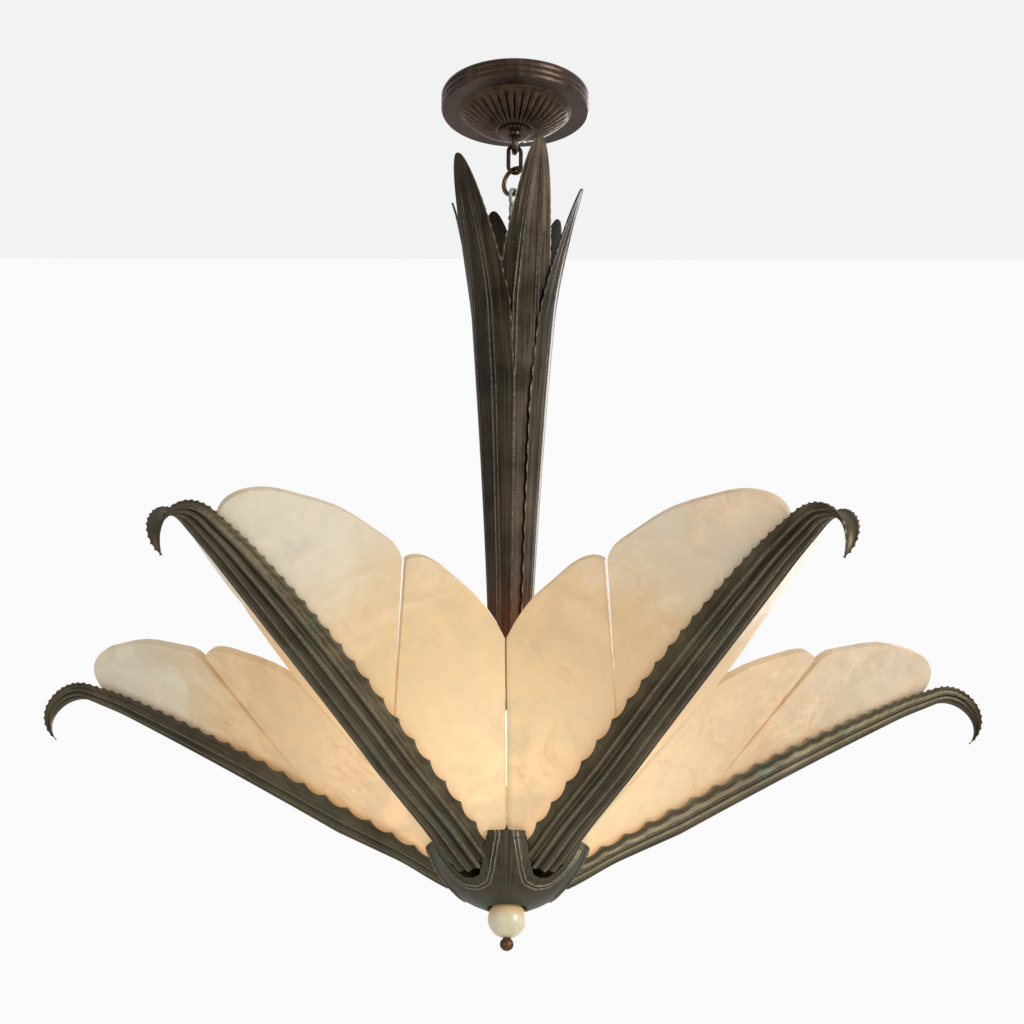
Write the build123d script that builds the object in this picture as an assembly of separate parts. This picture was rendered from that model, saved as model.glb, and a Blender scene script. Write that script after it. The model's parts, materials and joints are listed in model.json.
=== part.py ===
from build123d import *
import math
import os

# Pendant light: five serrated bronze leaf arms spread from a lobed hub and carry twenty
# flat alabaster panels. It hangs by a ring and one link from a fluted ceiling canopy.
# Millimetres, +Z up. The origin is the centre of the ceiling plate; all of it hangs below.

# ------------------------------------------------------------------ driving dimensions
ARM_COUNT = 5
HUB_DROP = 796.0                 # ceiling down to the hub datum
FIRST_ARM_ANGLE = -54.0          # direction of arm_1, from +X

CANOPY_RADIUS = 70.0             # ceiling canopy, at its widest moulding
CANOPY_RIM_HEIGHT = 19.0
CANOPY_DOME_RADIUS = 54.0
CANOPY_DOME_DROP = 21.0
CANOPY_WALL = 1.6
CANOPY_MOULDINGS = 3             # rounded steps round its rim
MOULDING_STEP = 1.2
CANOPY_FLUTES = 36
FLUTE_MARGIN = 5.0               # plain ring left inside and outside the flutes
FLUTE_NARROW = 1.2               # radius of a flute's cutter near the collar
FLUTE_WIDE = 2.6                 # and near the rim
FLUTE_INNER_DROP = 0.9           # cutter's axis below the dome's flat
FLUTE_OUTER_DROP = 9.5           # and below the rim's shelf
CANOPY_HOLE_RADIUS = 6.0
COLLAR_RADIUS = 16.0
COLLAR_THICKNESS = 3.0
COLLAR_CHAMFER = 0.8

BAR_SLOT_SPACING = 88.9          # crossbar that screws to the ceiling box
BAR_SLOT_LENGTH = 14.0
BAR_SLOT_RADIUS = 2.4
BAR_END_MARGIN = 3.55            # metal left beyond each slot
BAR_WIDTH = 22.0
BAR_THICKNESS = 2.5
BAR_NUT_FLATS = 15.0
BAR_NUT_HEIGHT = 4.0
NIPPLE_RADIUS = 5.0
NIPPLE_BORE = 3.5
NIPPLE_TOP = 1.0                 # below the ceiling
NIPPLE_ENGAGEMENT = 4.0          # thread in the neck of the loop
CLOSE_FIT = 0.05                 # radial clearance of a thread or a turned fit
FACE_GAP = 0.1                   # between flat faces that are screwed together
SEAT_GAP = 0.3                   # clearance where two hanging pieces bear on each other

NECK_RADIUS = 6.5
NECK_LENGTH = 0.6                # between the collar and the loop's wire
NECK_OVERLAP = 5.0               # how far the neck reaches down round that wire
LOOP_WIRE = 3.0                  # wire radius of the canopy loop
LOOP_RADIUS = 7.5                # to the middle of its wire
LOOP_WIRE_HOLE = 2.2             # radius of the way for the supply wires
LINK_WIRE = 2.0
LINK_HALF_WIDTH = 6.25
LINK_PITCH = 28.5                # between the middles of its end wires
LINK_YAW = 20.0                  # turned about the vertical, from +X
RING_WIRE = 2.15
RING_RADIUS = 13.4
RING_YAW = 140.0
HANGER_WIRE = 1.8
HANGER_HALF_WIDTH = 5.5
HANGER_EYE_LENGTH = 17.0
HANGER_SHANK = 4.0
HANGER_BOSS_RADIUS = 10.0
HANGER_SOCKET_DEPTH = 14.0       # thread on the stem tube
OUTLET_RADIUS = 3.0              # cross hole where the supply wires enter the stem
OUTLET_MARGIN = 1.5

TUBE_RADIUS = 6.5                # threaded tube that carries the lower part
TUBE_BORE = 4.75
TUBE_BOTTOM = 1.0                # above the hub datum
TUBE_TOP = 636.0

LEAF_THICKNESS = 2.4
LEAF_BOTTOM = 200.0              # above the hub datum
LEAF_LAYER_GAP = 0.3
LEAF_SHOULDER = 150.0            # a leaf reaches its full width this far below its tip
LEAF_LEAST_HALF_ANGLE = 1.6
LEAF_MOST_HALF_ANGLE = 55.5
STEM_WAIST = 19.0                # outer radius of the leaf cluster at its foot
STEM_SPREAD = 24.0               # gained slowly on the way up
STEM_SPREAD_LENGTH = 400.0
STEM_SPREAD_POWER = 1.35
STEM_FLARE = 17.0                # and quickly at the top
STEM_FLARE_START = 560.0
STEM_FLARE_LENGTH = 140.0
STEM_FLARE_POWER = 1.6
FOOT_HEIGHT = 12.0
FOOT_SLEEVE_RADIUS = 9.0         # sleeve that carries the leaves on the lamp plate
FOOT_FLARE_LENGTH = 36.0
SPACER_HEIGHT = 4.0
SPACER_LEVEL = 500.0
SPACER_FIT = 0.3

ARM_ROOT_RADIUS = 46.0           # rim of an arm at its root: distance from the axis
ARM_ROOT_RISE = 33.4             # and height above the hub datum
ARM_SLOPE = 31.3                 # degrees above the horizontal
ARM_STRAIGHT = 164.0
ARM_BOW_RADIUS = 2146.0
ARM_BOW_LENGTH = 251.6
CURL_RADIUS = 39.7
CURL_TURN = 79.3
TIP_RADIUS = 27.1
TIP_TURN = 90.5
ARM_HALF_WIDTH = 24.7
ARM_TAPER_START = 224.0          # along the rim
ARM_TAPER_POWER = 2.27
ARM_DEPTH = 22.5
ARM_ROOT_DEPTH = 14.0
ARM_SWELL_LENGTH = 120.0
ARM_DEPTH_TAPER_START = 180.0
ARM_DEPTH_TAPER_POWER = 1.75
ARM_WALL = 3.0
ARM_RIDGES = 5
ARM_INNER_FACETS = 9
ARM_FLUTE_DEPTH = 0.09           # share of the section's half width
TIP_SIZE = 1.2
ARM_BOW_LEVELS = (0.24, 0.42, 0.6, 0.75, 0.88)   # loft levels along the bow, as shares of it
ARM_CURL_STEPS = 9
TOOTH_START = 12.5               # first cusp of the serrated rim
TOOTH_PITCH = 25.0
TOOTH_SHORTENING = 0.066         # pitch lost per millimetre past TOOTH_SHORTEN_FROM
TOOTH_SHORTEN_FROM = 150.0
TOOTH_PITCH_LEAST = 6.5
TOOTH_DIP = 0.15                 # scallop depth as a share of the pitch
SCALLOP_COVER = 6.0              # height of the strip that the scallops are cut with

PANEL_THICKNESS = 8.0
PANEL_LEAN = 37.5                # panel against the plane across the two rims of an arm
PANEL_INSET = 0.5                # beside the rim's inner corner
PANEL_JOINT_GAP = 1.2
SEAM_HALF_GAP = 0.6
OUTER_PANEL_SLOPE = 29.4
PANEL_JOINT_STATION = 164.0      # along the rim, where outer and inner panels meet
INNER_TUCK = 14.0                # how far a panel reaches down inside the channel
OUTER_TUCK = 16.0

HUB_LOBE_RADIUS = 72.0
HUB_LOBE_TOP = 48.0
HUB_WALL = 3.6
HUB_MOUTH_RADIUS = 17.0
HUB_FLOOR_TOP = 9.5
HUB_LIP_RADIUS = 21.0            # lowest ring of the casting
HUB_LIP_LEVEL = -4.0
HUB_NOTCH_BOTTOM = 13.0
HUB_NOTCH_RISE = 12.0            # the notch is cut this far past the lobes
HUB_ARM_CLEARANCE = 0.8
HUB_NUT_HEIGHT = 3.6
HUB_NUT_FLATS = 16.0

SPIDER_RADIUS = 29.0
SPIDER_HEIGHT = 11.0
TONGUE_WIDTH = 12.0
TONGUE_THICKNESS = 4.0
TONGUE_LENGTH = 46.0             # past the arm's root
TONGUE_INNER_LENGTH = 30.0       # from the arm's root in to the boss
TONGUE_LIFT = 1.1                # its flat underside clears the hollow of the floor
SCREW_RADIUS = 2.0
SCREW_HEAD_RADIUS = 3.6
SCREW_HEAD_HEIGHT = 2.4
SCREW_STATIONS = (14.0, 36.0)

LAMP_PLATE_RADIUS = 54.0
LAMP_PLATE_LEVEL = 56.0
LAMP_PLATE_THICKNESS = 2.0
LAMP_CIRCLE = 38.0
LAMP_SPACER_RADIUS = 9.0
HOLDER_RADIUS = 13.5
HOLDER_HEIGHT = 34.0
HOLDER_FLOOR = 3.0
BULB_RADIUS = 17.0
BULB_HEIGHT = 72.0
BULB_NECK_RADIUS = 9.0
BULB_CAP_RADIUS = 7.0
BULB_CAP_LENGTH = 24.0

BALL_RADIUS = 16.7
BALL_CENTRE = -12.6
BALL_TOP = 0.2                   # its flat top, under the hub nut
BALL_FOOT_RADIUS = 4.0
BALL_FIT = 0.1
FINIAL_RADIUS = 6.0
FINIAL_SEAT = 0.9                # flat seat above its centre, as a share of its radius
ROD_RADIUS = 2.5
ROD_REACH = 7.8                  # into the finial
PLUG_LENGTH = 12.0

# ------------------------------------------------------------------ worked-out levels
DOME_BOTTOM = -(CANOPY_RIM_HEIGHT + CANOPY_DOME_DROP)
COLLAR_BOTTOM = DOME_BOTTOM - COLLAR_THICKNESS
BAR_LENGTH = BAR_SLOT_SPACING + BAR_SLOT_LENGTH + 2 * BAR_END_MARGIN
NIPPLE_BOTTOM = COLLAR_BOTTOM - NIPPLE_ENGAGEMENT
LOOP_CENTRE = COLLAR_BOTTOM - NECK_LENGTH - LOOP_WIRE - LOOP_RADIUS
LINK_TOP = LOOP_CENTRE - LOOP_RADIUS + LOOP_WIRE + SEAT_GAP + LINK_WIRE
LINK_BOTTOM = LINK_TOP - LINK_PITCH
RING_TOP = LINK_BOTTOM + LINK_WIRE + SEAT_GAP + RING_WIRE
RING_CENTRE = RING_TOP - RING_RADIUS
HANGER_TOP = RING_CENTRE - RING_RADIUS + RING_WIRE + SEAT_GAP + HANGER_WIRE
ARM_LENGTH = (
    ARM_STRAIGHT
    + ARM_BOW_LENGTH
    + CURL_RADIUS * math.radians(CURL_TURN)
    + TIP_RADIUS * math.radians(TIP_TURN)
)
ARM_PITCH_ANGLE = 360.0 / ARM_COUNT
SPIDER_TOP = HUB_FLOOR_TOP + SPIDER_HEIGHT
LAMP_PLATE_TOP = LAMP_PLATE_LEVEL + LAMP_PLATE_THICKNESS
HOLDER_TOP = LAMP_PLATE_TOP + FACE_GAP + HOLDER_HEIGHT
NUT_BOTTOM = BALL_TOP + SEAT_GAP
NUT_TOP = NUT_BOTTOM + HUB_NUT_HEIGHT
HUB_ROOF = NUT_TOP + FACE_GAP
BALL_FOOT = BALL_CENTRE - math.sqrt(BALL_RADIUS**2 - BALL_FOOT_RADIUS**2)
FINIAL_TOP = BALL_FOOT - SEAT_GAP
ROD_BOTTOM = FINIAL_TOP - ROD_REACH

os.makedirs("parts", exist_ok=True)


def save(name, shape):
    """Write one piece to its STEP file under its own name."""
    shape.label = name
    export_step(shape, "parts/" + name + ".step")


def hang(shape):
    """Move a piece drawn above the hub datum to its place below the ceiling."""
    return Pos(0, 0, -HUB_DROP) * shape


def tube(outer, inner, bottom, top):
    """Upright tube or disc on the main axis; inner may be zero."""
    height = top - bottom
    body = Pos(0, 0, bottom) * Cylinder(outer, height, align=(Align.CENTER, Align.CENTER, Align.MIN))
    if inner > 0:
        body -= Pos(0, 0, bottom) * Cylinder(inner, height, align=(Align.CENTER, Align.CENTER, Align.MIN))
    return body


def hexagon(flats, bore, bottom, top):
    """Hexagon nut on the main axis."""
    outline = RegularPolygon(flats / 2, 6, major_radius=False) - Circle(bore)
    return Pos(0, 0, bottom) * extrude(outline, top - bottom)


def turned(edges):
    """Solid of revolution about the main axis from a closed half outline in XZ."""
    return revolve(make_face(Wire(edges)), Axis.Z)


def polyline(points):
    """Straight edges through the points, as a list."""
    return [Line(a, b) for a, b in zip(points[:-1], points[1:])]


def at(x, z):
    """Point of a half outline: distance from the axis and height."""
    return (x, 0, z)


# ------------------------------------------------------------------ ceiling fitting
def crossbar():
    bar = Pos(0, 0, -BAR_THICKNESS) * extrude(Rectangle(BAR_LENGTH, BAR_WIDTH), BAR_THICKNESS)
    slot = extrude(SlotOverall(BAR_SLOT_LENGTH, 2 * BAR_SLOT_RADIUS), -BAR_THICKNESS)
    for side in (-1, 1):
        bar -= Pos(side * BAR_SLOT_SPACING / 2, 0, 0) * slot
    return bar - tube(NIPPLE_RADIUS + CLOSE_FIT, 0, -BAR_THICKNESS, 0)


def crossbar_nut():
    top = -BAR_THICKNESS - FACE_GAP
    return hexagon(BAR_NUT_FLATS, NIPPLE_RADIUS + CLOSE_FIT, top - BAR_NUT_HEIGHT, top)


def canopy_nipple():
    return tube(NIPPLE_RADIUS, NIPPLE_BORE, NIPPLE_BOTTOM, -NIPPLE_TOP)


def canopy_outline(inset):
    """Edges of the canopy's face from the ceiling down to its centre hole, moved in by inset."""
    rim = CANOPY_RADIUS - inset
    pitch = CANOPY_RIM_HEIGHT / CANOPY_MOULDINGS
    edges = []
    for index in range(CANOPY_MOULDINGS):
        last = index == CANOPY_MOULDINGS - 1
        top = at(rim, -index * pitch)
        middle = at(rim + MOULDING_STEP, -(index + 0.5) * pitch)
        bottom = at(rim, -(index + 1) * pitch + (inset if last else 0))
        edges.append(ThreePointArc(top, middle, bottom))
    shelf = -CANOPY_RIM_HEIGHT + inset
    foot = at(CANOPY_HOLE_RADIUS, DOME_BOTTOM + inset)
    shoulder = at(COLLAR_RADIUS, DOME_BOTTOM + inset)
    start = at(CANOPY_DOME_RADIUS - inset, shelf)
    belly = at(CANOPY_DOME_RADIUS * 0.72 - inset * 0.7, shelf - CANOPY_DOME_DROP * 0.62)
    edges.append(Line(at(rim, shelf), start))
    edges.append(ThreePointArc(start, belly, shoulder))
    edges.append(Line(shoulder, foot))
    return edges


def canopy_shell():
    outer = canopy_outline(0.0)
    inner = canopy_outline(CANOPY_WALL)
    hole_foot = at(CANOPY_HOLE_RADIUS, DOME_BOTTOM)
    hole_edge = Line(hole_foot, at(CANOPY_HOLE_RADIUS, DOME_BOTTOM + CANOPY_WALL))
    top_edge = Line(at(CANOPY_RADIUS - CANOPY_WALL, 0), at(CANOPY_RADIUS, 0))
    shell = turned(outer + [hole_edge] + inner + [top_edge])
    groove_start = at(COLLAR_RADIUS + FLUTE_MARGIN, DOME_BOTTOM - FLUTE_INNER_DROP)
    groove_end = at(CANOPY_DOME_RADIUS - FLUTE_MARGIN, -CANOPY_RIM_HEIGHT - FLUTE_OUTER_DROP)
    run = Vector(groove_end) - Vector(groove_start)
    groove = Plane(origin=groove_start, z_dir=run) * Cone(
        FLUTE_NARROW, FLUTE_WIDE, run.length, align=(Align.CENTER, Align.CENTER, Align.MIN)
    )
    turns = [Rot(0, 0, 360.0 * index / CANOPY_FLUTES) * groove for index in range(CANOPY_FLUTES)]
    return shell - turns


def canopy_collar():
    flange = tube(COLLAR_RADIUS, NIPPLE_RADIUS + CLOSE_FIT, COLLAR_BOTTOM, DOME_BOTTOM)
    return chamfer(flange.edges().sort_by(Axis.Z)[0:1], COLLAR_CHAMFER)


def oval_ring(half_width, pitch, wire):
    """Closed wire link in XZ with round ends; the middle of its top wire is the origin."""
    leg = pitch - 2 * half_width
    upper = -half_width
    section = Pos(half_width, 0, upper) * Circle(wire)
    end = revolve(section, Axis((0, 0, upper), (0, -1, 0)), 180)
    side = Pos(half_width, 0, upper - leg) * Cylinder(
        wire, leg, align=(Align.CENTER, Align.CENTER, Align.MIN)
    )
    lower_end = Pos(0, 0, 2 * upper - leg) * Rot(0, 180, 0) * end
    return end + side + mirror(side, about=Plane.YZ) + lower_end


# ------------------------------------------------------------------ suspension
def canopy_loop():
    """Eye under the collar, with a bored neck that screws on the nipple."""
    neck_bottom = COLLAR_BOTTOM - NECK_LENGTH - NECK_OVERLAP
    ring = Pos(0, 0, LOOP_CENTRE) * Rot(0, 90, 0) * Torus(LOOP_RADIUS, LOOP_WIRE)
    neck = tube(NECK_RADIUS, 0, neck_bottom, COLLAR_BOTTOM - FACE_GAP)
    socket = tube(NIPPLE_RADIUS + CLOSE_FIT, 0, NIPPLE_BOTTOM - FACE_GAP, COLLAR_BOTTOM)
    wire_way = tube(LOOP_WIRE_HOLE, 0, LOOP_CENTRE, COLLAR_BOTTOM)
    return ring + neck - socket - wire_way


def chain_link():
    link = oval_ring(LINK_HALF_WIDTH, LINK_PITCH, LINK_WIRE)
    return Pos(0, 0, LINK_TOP) * Rot(0, 0, LINK_YAW) * link


def suspension_ring():
    return Pos(0, 0, RING_CENTRE) * Rot(0, 0, RING_YAW) * Rot(90, 0, 0) * Torus(RING_RADIUS, RING_WIRE)


def stem_hanger():
    """Eye over the ring, a tapered shank, and a boss that takes the tube and lets the wires in."""
    tube_end = TUBE_TOP - HUB_DROP
    boss_bottom = tube_end - HANGER_SOCKET_DEPTH
    outlet_level = tube_end + OUTLET_MARGIN + OUTLET_RADIUS
    boss_top = outlet_level + OUTLET_RADIUS + OUTLET_MARGIN
    eye_bottom = HANGER_TOP - HANGER_EYE_LENGTH
    eye = oval_ring(HANGER_HALF_WIDTH, HANGER_EYE_LENGTH, HANGER_WIRE)
    eye = Pos(0, 0, HANGER_TOP) * Rot(0, 0, RING_YAW - 90) * eye
    shank = Pos(0, 0, boss_top) * Cone(
        0.7 * HANGER_BOSS_RADIUS,
        HANGER_SHANK,
        eye_bottom - boss_top,
        align=(Align.CENTER, Align.CENTER, Align.MIN),
    )
    boss = tube(HANGER_BOSS_RADIUS, 0, boss_bottom, boss_top)
    socket = tube(TUBE_RADIUS + CLOSE_FIT, 0, boss_bottom, tube_end)
    wire_way = tube(TUBE_BORE, 0, tube_end, outlet_level)
    outlet = Cylinder(OUTLET_RADIUS, 3 * HANGER_BOSS_RADIUS)
    outlet = Pos(0, 0, outlet_level) * Rot(90, 0, 0) * outlet
    return eye + shank + boss - socket - wire_way - outlet


# ------------------------------------------------------------------ stem
def stem_radius(height):
    """Outer radius of the leaf cluster at a height above the hub datum."""
    climb = (height - LEAF_BOTTOM) / STEM_SPREAD_LENGTH
    flare = max(0.0, (height - STEM_FLARE_START) / STEM_FLARE_LENGTH)
    return STEM_WAIST + STEM_SPREAD * climb**STEM_SPREAD_POWER + STEM_FLARE * flare**STEM_FLARE_POWER


def leaf_half_width(below_tip, widest):
    """Half width of a stem leaf, measured round the stem, at a distance below its tip."""
    return widest * min(1.0, (below_tip / LEAF_SHOULDER)) ** 0.5


# azimuth from +X, tip height above the hub datum, widest half width, which layer (0 is outside)
STEM_LEAVES = (
    (-140.0, 709.0, 33.0, 0),
    (-69.0, 717.0, 30.0, 1),
    (-4.0, 692.0, 32.0, 0),
    (47.0, 684.0, 30.0, 1),
    (108.0, 703.0, 30.0, 0),
    (171.0, 684.0, 30.0, 1),
)
# levels of a leaf's loft: up the stem from its foot, and back down from its tip
LEAF_LEVELS = (LEAF_BOTTOM, 300.0, 400.0, 480.0, 560.0, 600.0, 630.0)
LEAF_TIP_DROPS = (50.0, 34.0, 20.0, 8.0, 0.0)


def sector(radius, thickness, half_angle, height):
    """Band of a circle round the axis, centred on +X, as one level of a stem leaf."""
    inner = radius - thickness
    angle = math.radians(half_angle)
    cos_a, sin_a = math.cos(angle), math.sin(angle)
    left_out, right_out = (radius * cos_a, radius * sin_a), (radius * cos_a, -radius * sin_a)
    left_in, right_in = (inner * cos_a, inner * sin_a), (inner * cos_a, -inner * sin_a)
    outline = Wire(
        [
            ThreePointArc(right_out, (radius, 0), left_out),
            Line(left_out, left_in),
            ThreePointArc(left_in, (inner, 0), right_in),
            Line(right_in, right_out),
        ]
    )
    return Pos(0, 0, height) * make_face(outline)


def stem_leaf(azimuth, tip, widest, layer):
    drop = layer * (LEAF_THICKNESS + LEAF_LAYER_GAP)
    levels = sorted([*LEAF_LEVELS, *(tip - below for below in LEAF_TIP_DROPS)])
    faces = []
    for level in levels:
        radius = stem_radius(level) - drop
        half_angle = math.degrees(leaf_half_width(tip - level, widest) / radius)
        half_angle = min(LEAF_MOST_HALF_ANGLE, max(LEAF_LEAST_HALF_ANGLE, half_angle))
        faces.append(sector(radius, LEAF_THICKNESS, half_angle, level))
    return Rot(0, 0, azimuth) * loft(faces, ruled=True)


def leaf_bore_radius(level):
    """Radius inside the inner leaves, less the clearance of what they are brazed to."""
    return stem_radius(level) - 2 * LEAF_THICKNESS - LEAF_LAYER_GAP - SPACER_FIT


def stem_foot():
    """Sleeve round the tube, from the lamp plate up to a flared cup inside the leaves' feet."""
    bore, cup = TUBE_RADIUS + CLOSE_FIT, leaf_bore_radius(LEAF_BOTTOM)
    bottom, top = LAMP_PLATE_TOP + FACE_GAP, LEAF_BOTTOM + FOOT_HEIGHT
    flare_start = at(FOOT_SLEEVE_RADIUS, LEAF_BOTTOM - FOOT_FLARE_LENGTH)
    flare_end = at(cup, LEAF_BOTTOM)
    flare_middle = at(
        FOOT_SLEEVE_RADIUS + 0.3 * (cup - FOOT_SLEEVE_RADIUS), LEAF_BOTTOM - 0.4 * FOOT_FLARE_LENGTH
    )
    flare = ThreePointArc(flare_start, flare_middle, flare_end)
    rest = polyline([flare_end, at(cup, top), at(bore, top), at(bore, bottom)])
    sleeve = polyline([at(bore, bottom), at(FOOT_SLEEVE_RADIUS, bottom), flare_start])
    return turned([flare, *rest, *sleeve])


def stem_spacer():
    """Disc on the tube that the inner leaves are brazed to."""
    radius = leaf_bore_radius(SPACER_LEVEL)
    return tube(radius, TUBE_RADIUS + CLOSE_FIT, SPACER_LEVEL, SPACER_LEVEL + SPACER_HEIGHT)


# ------------------------------------------------------------------ arms
def rim_point(station):
    """Rim of an arm in its own upright plane: (distance from axis, height, direction in degrees)."""
    runs = (
        (None, ARM_STRAIGHT),
        (ARM_BOW_RADIUS, ARM_BOW_LENGTH),
        (CURL_RADIUS, CURL_RADIUS * math.radians(CURL_TURN)),
        (TIP_RADIUS, TIP_RADIUS * math.radians(TIP_TURN)),
    )
    out, up, slope = ARM_ROOT_RADIUS, ARM_ROOT_RISE, math.radians(ARM_SLOPE)
    left = station
    for radius, length in runs:
        step = min(left, length)
        if radius is None:
            out += step * math.cos(slope)
            up += step * math.sin(slope)
        else:
            turned_slope = slope - step / radius
            out += radius * (math.sin(slope) - math.sin(turned_slope))
            up += radius * (math.cos(turned_slope) - math.cos(slope))
            slope = turned_slope
        left -= step
        if left <= 0:
            break
    return out, up, math.degrees(slope)


def rim_offset(station, lift):
    """Point of the arm's plane at a distance above (or below) the rim line."""
    out, up, slope = rim_point(station)
    angle = math.radians(slope)
    return at(out - lift * math.sin(angle), up + lift * math.cos(angle))


def arm_half_width(station):
    share = max(0.0, (station - ARM_TAPER_START) / (ARM_LENGTH - ARM_TAPER_START))
    return max(TIP_SIZE, ARM_HALF_WIDTH * (1 - share**ARM_TAPER_POWER))


def arm_depth(station):
    swell = ARM_ROOT_DEPTH + (ARM_DEPTH - ARM_ROOT_DEPTH) * min(1.0, station / ARM_SWELL_LENGTH)
    share = max(0.0, (station - ARM_DEPTH_TAPER_START) / (ARM_LENGTH - ARM_DEPTH_TAPER_START))
    return max(TIP_SIZE, swell * (1 - share**ARM_DEPTH_TAPER_POWER))


def arm_section(station):
    """Channel section square to the rim: ridged and fluted outside, in narrow flats inside."""
    out, up, slope = rim_point(station)
    half_width, depth = arm_half_width(station), arm_depth(station)
    wall = min(ARM_WALL, 0.35 * half_width, 0.35 * depth)
    bands = ARM_RIDGES + 1

    def outside(share, scale):
        angle = math.pi * share
        return (scale * half_width * math.cos(angle), -scale * depth * math.sin(angle))

    def inside(share):
        angle = math.pi * share
        return ((half_width - wall) * math.cos(angle), -(depth - wall) * math.sin(angle))

    edges = []
    for band in range(bands):
        edges.append(
            ThreePointArc(
                outside(band / bands, 1.0),
                outside((band + 0.5) / bands, 1.0 - ARM_FLUTE_DEPTH),
                outside((band + 1) / bands, 1.0),
            )
        )
    facets = [inside(facet / ARM_INNER_FACETS) for facet in reversed(range(ARM_INNER_FACETS + 1))]
    edges += polyline([outside(1, 1.0), *facets, outside(0, 1.0)])
    angle = math.radians(slope)
    section_plane = Plane(
        origin=at(out, up), x_dir=(0, 1, 0), z_dir=(math.cos(angle), 0, math.sin(angle))
    )
    return section_plane * make_face(Wire(edges))


def tooth_stations():
    """Places of the cusps along the rim, closing up towards the tip."""
    stations = [TOOTH_START]
    while stations[-1] < ARM_LENGTH - TOOTH_PITCH_LEAST:
        past = max(0.0, stations[-1] - TOOTH_SHORTEN_FROM)
        pitch = max(TOOTH_PITCH_LEAST, TOOTH_PITCH - TOOTH_SHORTENING * past)
        stations.append(stations[-1] + pitch)
    return [station for station in stations if station <= ARM_LENGTH]


def scallop_cutter():
    """Strip above the rim whose lower edge is a row of shallow arcs between the cusps."""
    cusps = tooth_stations()
    edges = []
    for near, far in zip(cusps[:-1], cusps[1:]):
        dip = TOOTH_DIP * (far - near)
        lowest = rim_offset((near + far) / 2, -dip)
        edges.append(ThreePointArc(rim_offset(near, 0), lowest, rim_offset(far, 0)))
    back = [rim_offset(station, SCALLOP_COVER) for station in reversed(cusps)]
    edges.append(Line(rim_offset(cusps[-1], 0), back[0]))
    edges += polyline(back)
    edges.append(Line(back[-1], rim_offset(cusps[0], 0)))
    strip = make_face(Wire(edges))
    return extrude(strip, ARM_HALF_WIDTH + 5, both=True)


def arm_stations():
    """Levels of the arm's loft: few on the straight run, close together round the curl."""
    curl_start = ARM_STRAIGHT + ARM_BOW_LENGTH
    straight = [0.0, ARM_SWELL_LENGTH, ARM_DEPTH_TAPER_START]
    bow = [ARM_STRAIGHT + ARM_BOW_LENGTH * share for share in ARM_BOW_LEVELS]
    curl = [
        curl_start + (ARM_LENGTH - curl_start) * index / ARM_CURL_STEPS
        for index in range(ARM_CURL_STEPS + 1)
    ]
    return straight + bow + curl


def bare_arm():
    """Arm along +X with its scalloped rims, before any hole."""
    body = loft([arm_section(station) for station in arm_stations()], ruled=True)
    return body - scallop_cutter()


def keel_line():
    """Inside of the channel floor at the root and its slope, for the tongue that lies on it."""
    start = rim_offset(0.0, -(arm_depth(0.0) - ARM_WALL))
    end = rim_offset(TONGUE_LENGTH, -(arm_depth(TONGUE_LENGTH) - ARM_WALL))
    slope = math.degrees(math.atan2(end[2] - start[2], end[0] - start[0]))
    return start, slope


def on_keel(station, lift):
    """Place on the channel floor, tilted with it, for tongue, screws and holes."""
    start, slope = keel_line()
    angle = math.radians(slope)
    x = start[0] + station * math.cos(angle) - lift * math.sin(angle)
    z = start[2] + station * math.sin(angle) + lift * math.cos(angle)
    return Pos(x, 0, z) * Rot(0, -slope, 0)


def arm():
    body = bare_arm()
    for station in SCREW_STATIONS:
        hole = Cylinder(SCREW_RADIUS + CLOSE_FIT, 4 * ARM_WALL)
        body -= on_keel(station, 0) * hole
    return body


def arm_screw(station):
    """Screw from the tongue's upper face down through the channel floor."""
    head_level = TONGUE_LIFT + TONGUE_THICKNESS + CLOSE_FIT
    shank = head_level + 0.9 * ARM_WALL
    body = Pos(0, 0, head_level - shank) * Cylinder(
        SCREW_RADIUS, shank, align=(Align.CENTER, Align.CENTER, Align.MIN)
    )
    body += Pos(0, 0, head_level) * Cylinder(
        SCREW_HEAD_RADIUS, SCREW_HEAD_HEIGHT, align=(Align.CENTER, Align.CENTER, Align.MIN)
    )
    return on_keel(station, 0) * body


def round_the_hub(shape, index, half_step=False):
    """Turn a piece drawn along +X to its place: an arm's direction, or midway to the next."""
    angle = FIRST_ARM_ANGLE + (index + (0.5 if half_step else 0.0)) * ARM_PITCH_ANGLE
    return Rot(0, 0, angle) * shape


# ------------------------------------------------------------------ alabaster panels
def panel_plane(slope, contact):
    """Plane of a panel's outer face: it leans on the rim's inner corner at the contact station."""
    out, up, _ = rim_point(contact)
    tilt, lean = math.radians(slope), math.radians(PANEL_LEAN)
    across = arm_half_width(contact) - ARM_WALL - PANEL_INSET
    normal = (
        -math.sin(tilt) * math.cos(lean),
        -math.sin(lean),
        math.cos(tilt) * math.cos(lean),
    )
    return Plane(origin=(out, across, up), x_dir=(math.cos(tilt), 0, math.sin(tilt)), z_dir=normal)


# Outlines lie in the panel's plane: along the rim from the joint, then away from the rim.
JOINT_HEAD = (115.0, 83.7)
INNER_HEAD = (
    (112.0, 92.5),
    (104.0, 99.5),
    (80.5, 107.6),
    (40.0, 115.0),
    (0.0, 112.7),
    (-25.0, 107.0),
)
INNER_FOOT = ((-150.0, 45.0), (-150.0, -INNER_TUCK))
OUTER_HEAD = (
    (125.0, 86.5),
    (143.5, 83.0),
    (187.0, 68.0),
    (215.0, 50.0),
    (240.0, 28.0),
    (249.0, 5.0),
)
OUTER_FOOT = (238.0, -OUTER_TUCK)


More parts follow.
